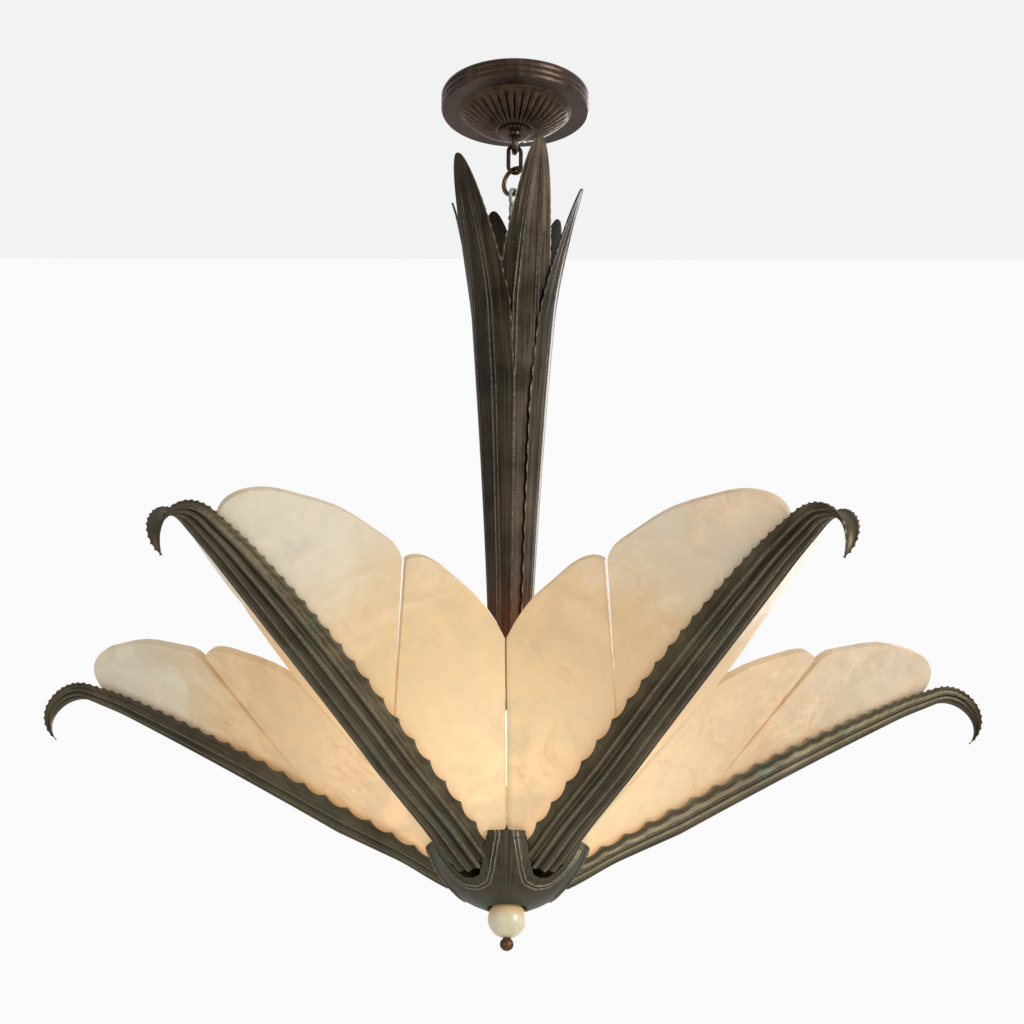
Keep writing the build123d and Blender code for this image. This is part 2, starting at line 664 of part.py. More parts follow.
def joint_point(point, side):
    """A point of the joint moved half the joint's gap towards one side of it."""
    along = math.atan2(JOINT_HEAD[1], JOINT_HEAD[0])
    reach = side * PANEL_JOINT_GAP / 2
    return (point[0] + reach * math.sin(along), point[1] - reach * math.cos(along))


def joint_foot(tuck):
    """Where the joint line, drawn on down into the channel, meets a panel's lower edge."""
    return (-tuck * JOINT_HEAD[0] / JOINT_HEAD[1], -tuck)


def inner_outline():
    head = joint_point(JOINT_HEAD, -1)
    foot = joint_point(joint_foot(INNER_TUCK), -1)
    crown = Spline([head, *INNER_HEAD])
    sides = polyline([INNER_HEAD[-1], *INNER_FOOT, foot, head])
    return make_face(Wire([crown, *sides]))


def outer_outline():
    head = joint_point(JOINT_HEAD, 1)
    foot = joint_point(joint_foot(OUTER_TUCK), 1)
    crown = Spline([head, *OUTER_HEAD, OUTER_FOOT])
    sides = polyline([OUTER_FOOT, foot, head])
    return make_face(Wire([crown, *sides]))


def seam_cutter():
    """Everything past the upright plane midway to the next arm."""
    size = 1000.0
    block = Pos(0, size / 2 - SEAM_HALF_GAP, 0) * Box(size, size, size)
    return Rot(0, 0, ARM_PITCH_ANGLE / 2) * block


def inner_panel():
    face_plane = panel_plane(ARM_SLOPE, PANEL_JOINT_STATION)
    slab = face_plane * extrude(inner_outline(), PANEL_THICKNESS)
    return slab - seam_cutter()


def outer_panel():
    run = ARM_BOW_RADIUS * math.radians(ARM_SLOPE - OUTER_PANEL_SLOPE)
    face_plane = panel_plane(OUTER_PANEL_SLOPE, ARM_STRAIGHT + run)
    shift = PANEL_JOINT_STATION - ARM_STRAIGHT - run
    return face_plane * Pos(shift, 0, 0) * extrude(outer_outline(), PANEL_THICKNESS)


# ------------------------------------------------------------------ hub
HUB_BELLY = ((33.4, 1.5), (45.5, 9.5), (58.5, 22.0), (67.0, 35.0))   # outside, from the lip up
HUB_BELLY_NORMALS = ((-0.72, 1.0), (-0.72, 0.72), (-1.0, 0.28))      # where its wall is measured
HUB_FLOOR_RADIUS = 38.0
HUB_NOTCH = ((15.0, 21.5), (22.0, 33.0), (27.5, 46.0), (31.0, HUB_LOBE_TOP + HUB_NOTCH_RISE))


def hub_outline():
    """Half outline of the casting before its notches are cut."""
    bore, mouth_roof = TUBE_RADIUS + CLOSE_FIT, HUB_MOUTH_RADIUS - 1.2
    lip_side = at(HUB_MOUTH_RADIUS, HUB_LIP_LEVEL + 2)
    lip_round = at(HUB_MOUTH_RADIUS + 1.4, HUB_LIP_LEVEL + 0.2)
    lip = at(HUB_LIP_RADIUS, HUB_LIP_LEVEL)
    top_out = at(HUB_LOBE_RADIUS, HUB_LOBE_TOP)
    top_in = at(HUB_LOBE_RADIUS - HUB_WALL, HUB_LOBE_TOP)
    belly = [at(x, z) for x, z in HUB_BELLY]
    inner_belly = [
        at(x + HUB_WALL * across, z + HUB_WALL * up)
        for (x, z), (across, up) in zip(HUB_BELLY[1:], HUB_BELLY_NORMALS)
    ]
    floor_edge = at(HUB_FLOOR_RADIUS, HUB_FLOOR_TOP)
    return [
        Line(at(bore, HUB_ROOF), at(mouth_roof, HUB_ROOF)),
        Line(at(mouth_roof, HUB_ROOF), lip_side),
        ThreePointArc(lip_side, lip_round, lip),
        Spline([lip, *belly, top_out]),
        Line(top_out, top_in),
        Spline([top_in, *reversed(inner_belly), floor_edge]),
        Line(floor_edge, at(bore, HUB_FLOOR_TOP)),
        Line(at(bore, HUB_FLOOR_TOP), at(bore, HUB_ROOF)),
    ]


def notch_cutter():
    """Rounded opening in the casting's wall where an arm comes out, cut outwards along +X."""
    half = [(0.0, HUB_NOTCH_BOTTOM), *HUB_NOTCH]
    left = [(-y, z) for y, z in reversed(half[1:])]
    opening = make_face(Wire([Spline(left + half), Line(half[-1], left[0])]))
    section = Plane(origin=(SPIDER_RADIUS, 0, 0), x_dir=(0, 1, 0), z_dir=(1, 0, 0)) * opening
    return extrude(section, HUB_LOBE_RADIUS)


def arm_envelope():
    """Filled arm near its root with clearance all round, cut from the casting."""
    faces = []
    for station in (0.0, ARM_SWELL_LENGTH / 2):
        out, up, slope = rim_point(station)
        angle = math.radians(slope)
        half_width = arm_half_width(station) + HUB_ARM_CLEARANCE
        depth = arm_depth(station) + HUB_ARM_CLEARANCE
        bowl = EllipticalCenterArc((0, 0), half_width, depth, start_angle=180, arc_size=180)
        rise = 2 * ARM_DEPTH
        lid = polyline([(half_width, 0), (half_width, rise), (-half_width, rise), (-half_width, 0)])
        section_plane = Plane(
            origin=at(out, up), x_dir=(0, 1, 0), z_dir=(math.cos(angle), 0, math.sin(angle))
        )
        faces.append(section_plane * make_face(Wire([bowl, *lid])))
    return loft(faces, ruled=True)


def hub_bowl():
    body = turned(hub_outline())
    cutters = [round_the_hub(notch_cutter(), index) for index in range(ARM_COUNT)]
    cutters += [round_the_hub(arm_envelope(), index) for index in range(ARM_COUNT)]
    return body - cutters


def hub_spider():
    """Boss on the casting's floor with one tongue out along the floor of each arm."""
    body = tube(SPIDER_RADIUS, 0, HUB_FLOOR_TOP + FACE_GAP, SPIDER_TOP)
    length = TONGUE_INNER_LENGTH + TONGUE_LENGTH
    strip = Box(length, TONGUE_WIDTH, TONGUE_THICKNESS, align=(Align.MIN, Align.CENTER, Align.MIN))
    hole = Cylinder(SCREW_RADIUS + CLOSE_FIT, 3 * TONGUE_THICKNESS)
    for station in SCREW_STATIONS:
        strip -= Pos(station + TONGUE_INNER_LENGTH, 0, 0) * hole
    tongue = on_keel(-TONGUE_INNER_LENGTH, TONGUE_LIFT) * strip
    body += [round_the_hub(tongue, index) for index in range(ARM_COUNT)]
    return body - tube(TUBE_RADIUS + CLOSE_FIT, 0, 0, LAMP_PLATE_LEVEL)


# ------------------------------------------------------------------ lamps
def lampholder():
    """Cup for a bulb's cap; it is open from its floor to its top."""
    bottom = LAMP_PLATE_TOP + FACE_GAP
    body = tube(HOLDER_RADIUS, 0, bottom, HOLDER_TOP)
    return body - tube(BULB_CAP_RADIUS + CLOSE_FIT, 0, bottom + HOLDER_FLOOR, HOLDER_TOP)


def bulb():
    """Candle bulb: a plain cap in the holder and a glass that swells and tapers above it."""
    base = HOLDER_TOP + SEAT_GAP
    cap_bottom = base - BULB_CAP_LENGTH
    widest = at(BULB_RADIUS, base + 0.38 * BULB_HEIGHT)
    upper = at(0.6 * BULB_RADIUS, base + 0.83 * BULB_HEIGHT)
    glass = Spline([at(BULB_NECK_RADIUS, base), widest, upper, at(0, base + BULB_HEIGHT)])
    outline = polyline(
        [
            at(0, base + BULB_HEIGHT),
            at(0, cap_bottom),
            at(BULB_CAP_RADIUS, cap_bottom),
            at(BULB_CAP_RADIUS, base),
            at(BULB_NECK_RADIUS, base),
        ]
    )
    return turned([glass, *outline])


def on_lamp_circle(shape, index):
    return round_the_hub(Pos(LAMP_CIRCLE, 0, 0) * shape, index, half_step=True)


# ------------------------------------------------------------------ finial
def finial_ball():
    ball = Pos(0, 0, BALL_CENTRE) * Sphere(BALL_RADIUS)
    ball -= tube(ROD_RADIUS + BALL_FIT, 0, -2 * BALL_RADIUS + BALL_CENTRE, BALL_RADIUS)
    ball -= tube(BALL_RADIUS, 0, BALL_TOP, BALL_RADIUS)
    return ball - tube(BALL_RADIUS, 0, BALL_FOOT - BALL_RADIUS, BALL_FOOT)


def finial_nut():
    centre = FINIAL_TOP - FINIAL_SEAT * FINIAL_RADIUS
    body = Pos(0, 0, centre) * Sphere(FINIAL_RADIUS)
    body -= tube(FINIAL_RADIUS, 0, FINIAL_TOP, FINIAL_TOP + FINIAL_RADIUS)
    return body - tube(ROD_RADIUS + CLOSE_FIT, 0, ROD_BOTTOM - SEAT_GAP, FINIAL_TOP)


def finial_plug():
    """Threaded plug in the lower end of the stem tube, which the finial's rod screws into."""
    bottom = TUBE_BOTTOM + FACE_GAP
    return tube(TUBE_BORE - CLOSE_FIT, ROD_RADIUS + CLOSE_FIT, bottom, TUBE_BOTTOM + PLUG_LENGTH)


# ------------------------------------------------------------------ build and write
def ceiling_fitting():
    save("crossbar", crossbar())
    save("crossbar_nut", crossbar_nut())
    save("canopy_nipple", canopy_nipple())
    save("canopy_shell", canopy_shell())
    save("canopy_collar", canopy_collar())
    save("canopy_loop", canopy_loop())
    save("chain_link", chain_link())
    save("suspension_ring", suspension_ring())


def stem():
    save("stem_hanger", stem_hanger())
    save("stem_tube", hang(tube(TUBE_RADIUS, TUBE_BORE, TUBE_BOTTOM, TUBE_TOP)))
    save("stem_foot", hang(stem_foot()))
    save("stem_spacer", hang(stem_spacer()))
    for number, (azimuth, tip, widest, layer) in enumerate(STEM_LEAVES, start=1):
        save(f"stem_leaf_{number}", hang(stem_leaf(azimuth, tip, widest, layer)))


def arms_and_panels():
    one_arm, one_inner, one_outer = arm(), inner_panel(), outer_panel()
    screws = []
    for index in range(ARM_COUNT):
        number = index + 1
        save(f"arm_{number}", hang(round_the_hub(one_arm, index)))
        for name, panel in (("inner", one_inner), ("outer", one_outer)):
            other = mirror(panel, about=Plane.XZ)
            save(f"panel_{name}_left_{number}", hang(round_the_hub(panel, index)))
            save(f"panel_{name}_right_{number}", hang(round_the_hub(other, index)))
        screws += [hang(round_the_hub(arm_screw(station), index)) for station in SCREW_STATIONS]
    save("arm_screws", Compound(children=screws))


def hub_and_lamps():
    bore = TUBE_RADIUS + CLOSE_FIT
    spacer_bottom = SPIDER_TOP + FACE_GAP
    save("hub_bowl", hang(hub_bowl()))
    save("hub_spider", hang(hub_spider()))
    save("hub_nut", hang(hexagon(HUB_NUT_FLATS, bore, NUT_BOTTOM, NUT_TOP)))
    save("lamp_spacer", hang(tube(LAMP_SPACER_RADIUS, bore, spacer_bottom, LAMP_PLATE_LEVEL)))
    save("lamp_plate", hang(tube(LAMP_PLATE_RADIUS, bore, LAMP_PLATE_LEVEL, LAMP_PLATE_TOP)))
    holders = [hang(on_lamp_circle(lampholder(), index)) for index in range(ARM_COUNT)]
    save("lampholders", Compound(children=holders))
    for index in range(ARM_COUNT):
        save(f"bulb_{index + 1}", hang(on_lamp_circle(bulb(), index)))


def finial():
    save("finial_plug", hang(finial_plug()))
    save("finial_rod", hang(tube(ROD_RADIUS, 0, ROD_BOTTOM, TUBE_BOTTOM + PLUG_LENGTH)))
    save("finial_ball", hang(finial_ball()))
    save("finial_nut", hang(finial_nut()))


ceiling_fitting()
stem()
arms_and_panels()
hub_and_lamps()
finial()
print("arm length along its rim", round(ARM_LENGTH, 1))
print("link swing axis level", round(LINK_TOP, 2))
print("ring swing axis level", round(RING_TOP, 2))
print("pendant swing axis level", round(HANGER_TOP, 2))
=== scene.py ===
"""Looks of a pendant light with serrated bronze leaf arms and lit alabaster panels.

Shapes are drawn in millimetres with their origin at the ceiling plate and become metres
when a mesh is made. Each sub-assembly is a class; each finish is a frozen dataclass.
"""

from __future__ import annotations

import json
import logging
import math
from collections.abc import Iterable, Sequence
from dataclasses import dataclass
from enum import Enum
from functools import cache

import bmesh
import bpy
import numpy as np
from mathutils import Matrix, Vector

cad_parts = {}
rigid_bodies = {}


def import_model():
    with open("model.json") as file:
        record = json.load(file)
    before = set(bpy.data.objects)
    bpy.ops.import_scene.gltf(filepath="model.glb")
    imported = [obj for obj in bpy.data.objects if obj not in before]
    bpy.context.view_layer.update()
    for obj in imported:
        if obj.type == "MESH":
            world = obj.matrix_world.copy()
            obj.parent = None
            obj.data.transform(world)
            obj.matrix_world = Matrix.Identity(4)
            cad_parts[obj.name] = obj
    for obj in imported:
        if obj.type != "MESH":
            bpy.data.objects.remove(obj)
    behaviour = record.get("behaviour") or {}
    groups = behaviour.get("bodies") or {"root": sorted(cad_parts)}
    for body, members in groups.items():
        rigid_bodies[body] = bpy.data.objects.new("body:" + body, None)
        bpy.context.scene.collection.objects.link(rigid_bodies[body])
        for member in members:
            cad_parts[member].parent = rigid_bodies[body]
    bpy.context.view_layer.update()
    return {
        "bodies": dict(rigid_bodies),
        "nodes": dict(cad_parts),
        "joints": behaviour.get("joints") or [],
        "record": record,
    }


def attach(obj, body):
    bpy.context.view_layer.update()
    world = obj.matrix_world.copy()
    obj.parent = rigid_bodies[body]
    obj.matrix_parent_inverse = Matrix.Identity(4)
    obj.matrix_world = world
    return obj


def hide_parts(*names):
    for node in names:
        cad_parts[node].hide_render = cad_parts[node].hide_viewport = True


LOG = logging.getLogger("pendant_light")
MM = 0.001
DOUBLES_APART = 1e-6
CRISP_ANGLE = 35.0
CRISP_CAST_ANGLE = 40.0
CRISP_LEAF_ANGLE = 50.0
Array = np.ndarray
Colour = tuple[float, float, float]
Levels = tuple[float, float]
Triple = tuple[float, float, float]


# ---------------------------------------------------------------- driving sizes
@dataclass(frozen=True)
class Layout:
    """Sizes that several sub-assemblies share, in millimetres and degrees."""

    hub_drop: float = 796.0
    arm_count: int = 5
    first_arm_angle: float = -54.0
    lamp_circle: float = 38.0
    holder_top: float = 92.1

    def arm_angle(self, index: float) -> float:
        """Direction of an arm, or of a gap at half an index, in degrees from +X."""
        return self.first_arm_angle + 360.0 * index / self.arm_count


LAYOUT = Layout()


class Body(Enum):
    """Moving bodies of the light, as the frame names them."""

    CANOPY = "canopy"
    LINK = "link"
    RING = "ring"
    PENDANT = "pendant"
    BALL = "ball"
    NUT = "nut"


class Slot(Enum):
    """Material slots of the record."""

    ARM_BRONZE = "arm_bronze"
    CANOPY_BRONZE = "canopy_bronze"
    CHAIN_BRONZE = "chain_bronze"
    VERDIGRIS = "verdigris_bronze"
    ALABASTER = "alabaster"
    BALL = "ball_alabaster"
    STEEL = "fitting_steel"
    PORCELAIN = "porcelain"
    GLASS = "bulb_glass"


# ---------------------------------------------------------------- mesh helpers
def smoothstep(low: float, high: float, value: Array | float) -> Array:
    """Smooth ramp from 0 at low to 1 at high."""
    share = np.clip((np.asarray(value, float) - low) / (high - low), 0.0, 1.0)
    return share * share * (3.0 - 2.0 * share)


def turn_about_axis(points: Array, degrees: float) -> Array:
    """Points turned about the vertical axis."""
    angle = math.radians(degrees)
    cos_a, sin_a = math.cos(angle), math.sin(angle)
    matrix = np.array(((cos_a, -sin_a, 0.0), (sin_a, cos_a, 0.0), (0.0, 0.0, 1.0)))
    return points @ matrix.T


def hang(points: Array) -> Array:
    """Points drawn above the hub datum, moved to their place below the ceiling."""
    return points - np.array((0.0, 0.0, LAYOUT.hub_drop))


def quads(rows: int, columns: int, close_rows: bool, close_columns: bool) -> list[tuple[int, ...]]:
    """Faces of a grid of points.

    Args:
        rows: Number of rows of points.
        columns: Number of points in a row.
        close_rows: Whether the last row joins the first.
        close_columns: Whether each row is a ring.

    Returns:
        Quads as tuples of point numbers.
    """
    faces = []
    for row in range(rows if close_rows else rows - 1):
        below = (row + 1) % rows
        for column in range(columns if close_columns else columns - 1):
            beside = (column + 1) % columns
            corners = ((row, column), (row, beside), (below, beside), (below, column))
            faces.append(tuple(line * columns + place for line, place in corners))
    return faces


@dataclass
class Surface:
    """A mesh in the making: points in millimetres, faces, and what its finish reads.

    Attributes:
        points: One row per point.
        faces: Tuples of point numbers.
        grain: Across and along the piece, in millimetres, one pair per point.
        tone_wear_sheen_shade: From -1 to 1, read by the bronze finish. Above 0 on ridges and cusps,
            which it lightens, partly wear and partly painted highlight; below 0 in hollows, which it
            darkens with painted shade.
    """

    points: Array
    faces: list[tuple[int, ...]]
    grain: Array | None = None
    tone_wear_sheen_shade: Array | None = None

    @classmethod
    def grid(
        cls, points: Array, close_rows: bool = True, close_columns: bool = True
    ) -> "Surface":
        """Surface over a grid of points of shape (rows, columns, 3)."""
        rows, columns = points.shape[:2]
        faces = quads(rows, columns, close_rows, close_columns)
        return cls(points.reshape(-1, 3), faces)

    @classmethod
    def shell(cls, outer: Array, inner: Array, grain: Array, tone_wear_sheen_shade: Array) -> "Surface":
        """Closed wall between two open grids of the same shape.

        Args:
            outer: Points of shape (rows, columns, 3).
            inner: The same, behind it.
            grain: Shape (rows, columns, 2).
            tone_wear_sheen_shade: Shape (rows, columns).

        Returns:
            The closed surface.
        """
        rows, columns = outer.shape[:2]
        count = rows * columns
        front = quads(rows, columns, False, False)
        back = [tuple(count + i for i in reversed(face)) for face in front]
        border = [(row, 0) for row in range(rows)]
        border += [(rows - 1, column) for column in range(1, columns)]
        border += [(row, columns - 1) for row in range(rows - 2, -1, -1)]
        border += [(0, column) for column in range(columns - 2, 0, -1)]
        ring = [row * columns + column for row, column in border]
        sides = [(a, b, count + b, count + a) for a, b in zip(ring, ring[1:] + ring[:1])]
        return cls(
            np.vstack((outer.reshape(-1, 3), inner.reshape(-1, 3))),
            front + back + sides,
            np.vstack((grain.reshape(-1, 2), grain.reshape(-1, 2))),
            np.concatenate((tone_wear_sheen_shade.ravel(), np.zeros(count))),
        )


def place_in_scene(name: str, data: bpy.types.ID | None) -> bpy.types.Object:
    """New object for a mesh, lamp or camera, linked to the scene."""
    made = bpy.data.objects.new(name, data)
    bpy.context.scene.collection.objects.link(made)
    return made


def finish_mesh(mesh: bpy.types.Mesh) -> None:
    """Merge doubles, point the faces outwards and shade a mesh smoothly."""
    work = bmesh.new()
    work.from_mesh(mesh)
    bmesh.ops.remove_doubles(work, verts=work.verts, dist=DOUBLES_APART)
    bmesh.ops.recalc_face_normals(work, faces=work.faces)
    work.to_mesh(mesh)
    work.free()
    mesh.shade_smooth()


def sharpen(mesh: bpy.types.Mesh, degrees: float) -> None:
    """Keep edges that turn more than an angle crisp on a smooth mesh."""
    mesh.set_sharp_from_angle(angle=math.radians(degrees))


def make_object(name: str, surface: Surface, crisp: float = CRISP_ANGLE) -> bpy.types.Object:
    """Object at the origin from a surface in millimetres.

    Args:
        name: Name of the piece.
        surface: Its shape.
        crisp: Edges turning more than this many degrees stay sharp.

    Returns:
        The new object.
    """
    mesh = bpy.data.meshes.new(name)
    mesh.from_pydata((surface.points * MM).tolist(), [], surface.faces)
    if surface.grain is not None:
        grain = mesh.attributes.new("grain", "FLOAT_VECTOR", "POINT")
        values = np.zeros((len(surface.points), 3), np.float32)
        values[:, :2] = surface.grain * MM
        grain.data.foreach_set("vector", values.ravel())
    if surface.tone_wear_sheen_shade is not None:
        tone_wear_sheen_shade = mesh.attributes.new("tone_wear_sheen_shade", "FLOAT", "POINT")
        tone_wear_sheen_shade.data.foreach_set("value", surface.tone_wear_sheen_shade.astype(np.float32))
    finish_mesh(mesh)
    sharpen(mesh, crisp)
    return place_in_scene(name, mesh)


def link_mesh(name: str, mesh: bpy.types.Mesh) -> bpy.types.Object:
    """Object at the origin for a finished mesh, smooth with crisp folds."""
    finish_mesh(mesh)
    sharpen(mesh, CRISP_CAST_ANGLE)
    return place_in_scene(name, mesh)


def merge_meshes(piece: bpy.types.Object, others: Iterable[bpy.types.Mesh]) -> bpy.types.Object:
    """Add meshes to a piece as further shells of it."""
    work = bmesh.new()
    work.from_mesh(piece.data)
    for other in others:
        work.from_mesh(other)
    bmesh.ops.recalc_face_normals(work, faces=work.faces)
    work.to_mesh(piece.data)
    work.free()
    piece.data.shade_smooth()
    sharpen(piece.data, CRISP_CAST_ANGLE)
    return piece


def stand_up(mesh: bpy.types.Mesh, yaw: float, level: float) -> None:
    """Turn a flat ring upright, then about the vertical, and move it to its level."""
    upright = Matrix.Rotation(math.radians(90.0), 4, "X")
    turn = Matrix.Rotation(math.radians(yaw), 4, "Z")
    mesh.transform(Matrix.Translation((0.0, 0.0, level * MM)) @ turn @ upright)


def settle(
    piece: bpy.types.Object,
    body: Body | str,
    finish: "Finish",
    nodes: Iterable[str],
) -> None:
    """Dress a piece, let it ride on its body and stand for its CAD nodes."""
    piece.data.materials.clear()
    piece.data.materials.append(finish.material())
    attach(piece, body.value if isinstance(body, Body) else body)
    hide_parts(*nodes)
    LOG.info("%s rides on %s for %s", piece.name, body, ", ".join(nodes))


def arc(centre: Sequence[float], radius: float, start: float, end: float, steps: int) -> Array:
    """Points of a circular arc in a plane, by its angles in degrees."""
    angles = np.radians(np.linspace(start, end, steps + 1))
    return np.column_stack(
        (centre[0] + radius * np.cos(angles), centre[1] + radius * np.sin(angles))
    )


def smooth_line(knots: Sequence[Sequence[float]], steps: int) -> Array:
    """Smooth line through a few knots in a plane, by centripetal Catmull-Rom spans.

    Args:
        knots: Points that the line passes.
        steps: Number of points per span.

    Returns:
        Points of the line, the last knot included.
    """
    points = np.asarray(knots, float)
    padded = np.vstack((2 * points[0] - points[1], points, 2 * points[-1] - points[-2]))
    spans = []
    for index in range(len(points) - 1):
        before, start, end, after = padded[index : index + 4]
        share = np.linspace(0.0, 1.0, steps, endpoint=False)[:, None]
        spans.append(
            0.5
            * (
                2 * start
                + (end - before) * share
                + (2 * before - 5 * start + 4 * end - after) * share**2
                + (3 * start - before - 3 * end + after) * share**3
            )
        )
    return np.vstack((*spans, points[-1:]))


def round_axis(radius: Array, angle: Array, height: Array) -> Array:
    """Grid of points at a radius, direction and height each."""
    across, along = radius * np.cos(angle), radius * np.sin(angle)
    return np.stack(np.broadcast_arrays(across, along, height), axis=2)


def lathe(profile: Array, columns: int) -> Array:
    """Grid of points from turning a closed outline of (radius, height) about the axis."""
    angles = 2 * math.pi * np.arange(columns) / columns
    return round_axis(profile[:, :1], angles[None, :], profile[:, 1:])


# ---------------------------------------------------------------- node graphs
class NodeGraph:
    """A tree of nodes under construction, with short calls for what is used often."""

    def __init__(self, tree: bpy.types.NodeTree) -> None:
        """Work on a tree."""
        self.tree = tree

    def add(self, kind: str, links: dict[str | int, object], **settings: object) -> bpy.types.Node:
        """Add a node.

        Args:
            kind: Type of the node.
            links: Input names or numbers with a socket or a constant for each.
            settings: Properties of the node.

        Returns:
            The node.
        """
        made = self.tree.nodes.new(kind)
        for key, setting in settings.items():
            setattr(made, key, setting)
        for key, source in links.items():
            self.feed(made.inputs[key], source)
        return made

    def feed(self, socket: bpy.types.NodeSocket, source: object) -> None:
        """Give an input a link or a constant."""
        if isinstance(source, bpy.types.NodeSocket):
            self.tree.links.new(source, socket)
        else:
            socket.default_value = source

    def math(self, operation: str, first: object, second: object = 0.0) -> bpy.types.NodeSocket:
        """Result of one arithmetic step."""
        return self.add("ShaderNodeMath", {0: first, 1: second}, operation=operation).outputs[0]

    def parts(self, vector: bpy.types.NodeSocket) -> Sequence[bpy.types.NodeSocket]:
        """X, Y and Z of a vector."""
        return self.add("ShaderNodeSeparateXYZ", {0: vector}).outputs

    def length(self, *parts: bpy.types.NodeSocket) -> bpy.types.NodeSocket:
        """Length of the vector with these parts."""
        total, *others = [self.math("MULTIPLY", part, part) for part in parts]
        for square in others:
            total = self.math("ADD", total, square)
        return self.math("SQRT", total)

    def ramp(
        self, value: object, low: object, high: object, start: float = 0.0, end: float = 1.0
    ) -> bpy.types.NodeSocket:
        """Value mapped smoothly from the range low to high onto start to end."""
        made = self.add(
            "ShaderNodeMapRange",
            {0: value, 1: low, 2: high, 3: start, 4: end},
            interpolation_type="SMOOTHSTEP",
        )
        return made.outputs[0]

    def mix(self, share: object, first: object, second: object) -> bpy.types.NodeSocket:
        """Colour between two colours."""
        ends = [
            source if isinstance(source, bpy.types.NodeSocket) else (*source, 1.0)
            for source in (first, second)
        ]
        made = self.add("ShaderNodeMix", {}, data_type="RGBA")
        for number, source in zip((0, 6, 7), (share, *ends)):
            self.feed(made.inputs[number], source)
        return made.outputs[2]


class GeometryTree(NodeGraph):
    """A Geometry Nodes tree with named inputs."""

    def __init__(self, name: str, **inputs: str) -> None:
        """Start an empty tree.

        Args:
            name: Name of the tree.
            inputs: Kind of each named input, such as Float, with _ for a space in its name.
        """
        super().__init__(bpy.data.node_groups.new(name, "GeometryNodeTree"))
        self.tree.interface.new_socket(
            name="Geometry", in_out="OUTPUT", socket_type="NodeSocketGeometry"
        )
        self.start = self.tree.nodes.new("NodeGroupInput")
        self.end = self.tree.nodes.new("NodeGroupOutput")
        self.identifiers: dict[str, str] = {}
        for key, kind in (*inputs.items(), ("Material", "Material")):
            title = key.replace("_", " ")
            socket = self.tree.interface.new_socket(
                name=title, in_out="INPUT", socket_type=f"NodeSocket{kind}"
            )
            self.identifiers[title] = socket.identifier

    def value(self, name: str) -> bpy.types.NodeSocket:
        """Socket that carries a named input inside the tree."""
        return self.start.outputs[name]

    def finish(self, geometry: bpy.types.NodeSocket) -> None:
        """End the tree with Realize Instances and Set Material."""
        real = self.add("GeometryNodeRealizeInstances", {"Geometry": geometry})
        dressed = self.add(
            "GeometryNodeSetMaterial",
            {"Geometry": real.outputs[0], "Material": self.value("Material")},
        )
        self.feed(self.end.inputs[0], dressed.outputs[0])

    def result(
        self, name: str, values: dict[str, object], base: bpy.types.Mesh | None = None
    ) -> bpy.types.Mesh:
        """Plain mesh that the tree makes with these values of its named inputs."""
        holder = place_in_scene(name, base or bpy.data.meshes.new(name))
        modifier = holder.modifiers.new("Nodes", "NODES")
        modifier.node_group = self.tree
        for key, setting in values.items():
            modifier[self.identifiers[key]] = setting
        holder.update_tag()
        graph = bpy.context.evaluated_depsgraph_get()
        graph.update()
        mesh = bpy.data.meshes.new_from_object(holder.evaluated_get(graph))
        holder.modifiers.clear()
        bpy.data.objects.remove(holder)
        mesh.name = name
        return mesh


@cache
def wire_ring_tree() -> GeometryTree:
    """Tree that bends round wire into a closed link with straight legs, flat in XY."""
    tree = GeometryTree("wire_ring", Half_Width="Float", Leg="Float", Wire_Radius="Float")
    width = tree.math("MULTIPLY", tree.value("Half Width"), 2.0)
    height = tree.math("ADD", width, tree.value("Leg"))
    frame = tree.add("GeometryNodeCurvePrimitiveQuadrilateral", {"Width": width, "Height": height})
    corner = tree.math("MULTIPLY", tree.value("Half Width"), 0.999)
    rounded = tree.add(
        "GeometryNodeFilletCurve",
        {"Curve": frame.outputs[0], "Radius": corner, "Count": 14},
        mode="POLY",
    )
    section = tree.add(
        "GeometryNodeCurvePrimitiveCircle",
        {"Resolution": 20, "Radius": tree.value("Wire Radius")},
        mode="RADIUS",
    )
    wire = tree.add(
        "GeometryNodeCurveToMesh",
        {"Curve": rounded.outputs[0], "Profile Curve": section.outputs[0]},
    )
    merged = tree.add(
        "GeometryNodeMergeByDistance", {"Geometry": wire.outputs[0], "Distance": 1e-5}
    )
    tree.finish(merged.outputs[0])
    return tree


def radial_repeat_tree() -> GeometryTree:
    """Tree that repeats a mesh a number of times round the vertical axis."""
    tree = GeometryTree("radial_repeat", Base="Geometry", Count="Int")
    places = tree.add(
        "GeometryNodeMeshLine",
        {"Count": tree.value("Count"), "Offset": (0.0, 0.0, 0.0)},
        mode="OFFSET",
    )
    index = tree.add("GeometryNodeInputIndex", {})
    step = tree.math("DIVIDE", 2 * math.pi, tree.value("Count"))
    angle = tree.math("MULTIPLY", index.outputs[0], step)
    euler = tree.add("ShaderNodeCombineXYZ", {"Z": angle})
    turn = tree.add("FunctionNodeEulerToRotation", {0: euler.outputs[0]})
    copies = tree.add(
        "GeometryNodeInstanceOnPoints",
        {"Points": places.outputs[0], "Instance": tree.value("Base"), "Rotation": turn.outputs[0]},
    )
    tree.finish(copies.outputs[0])
    return tree


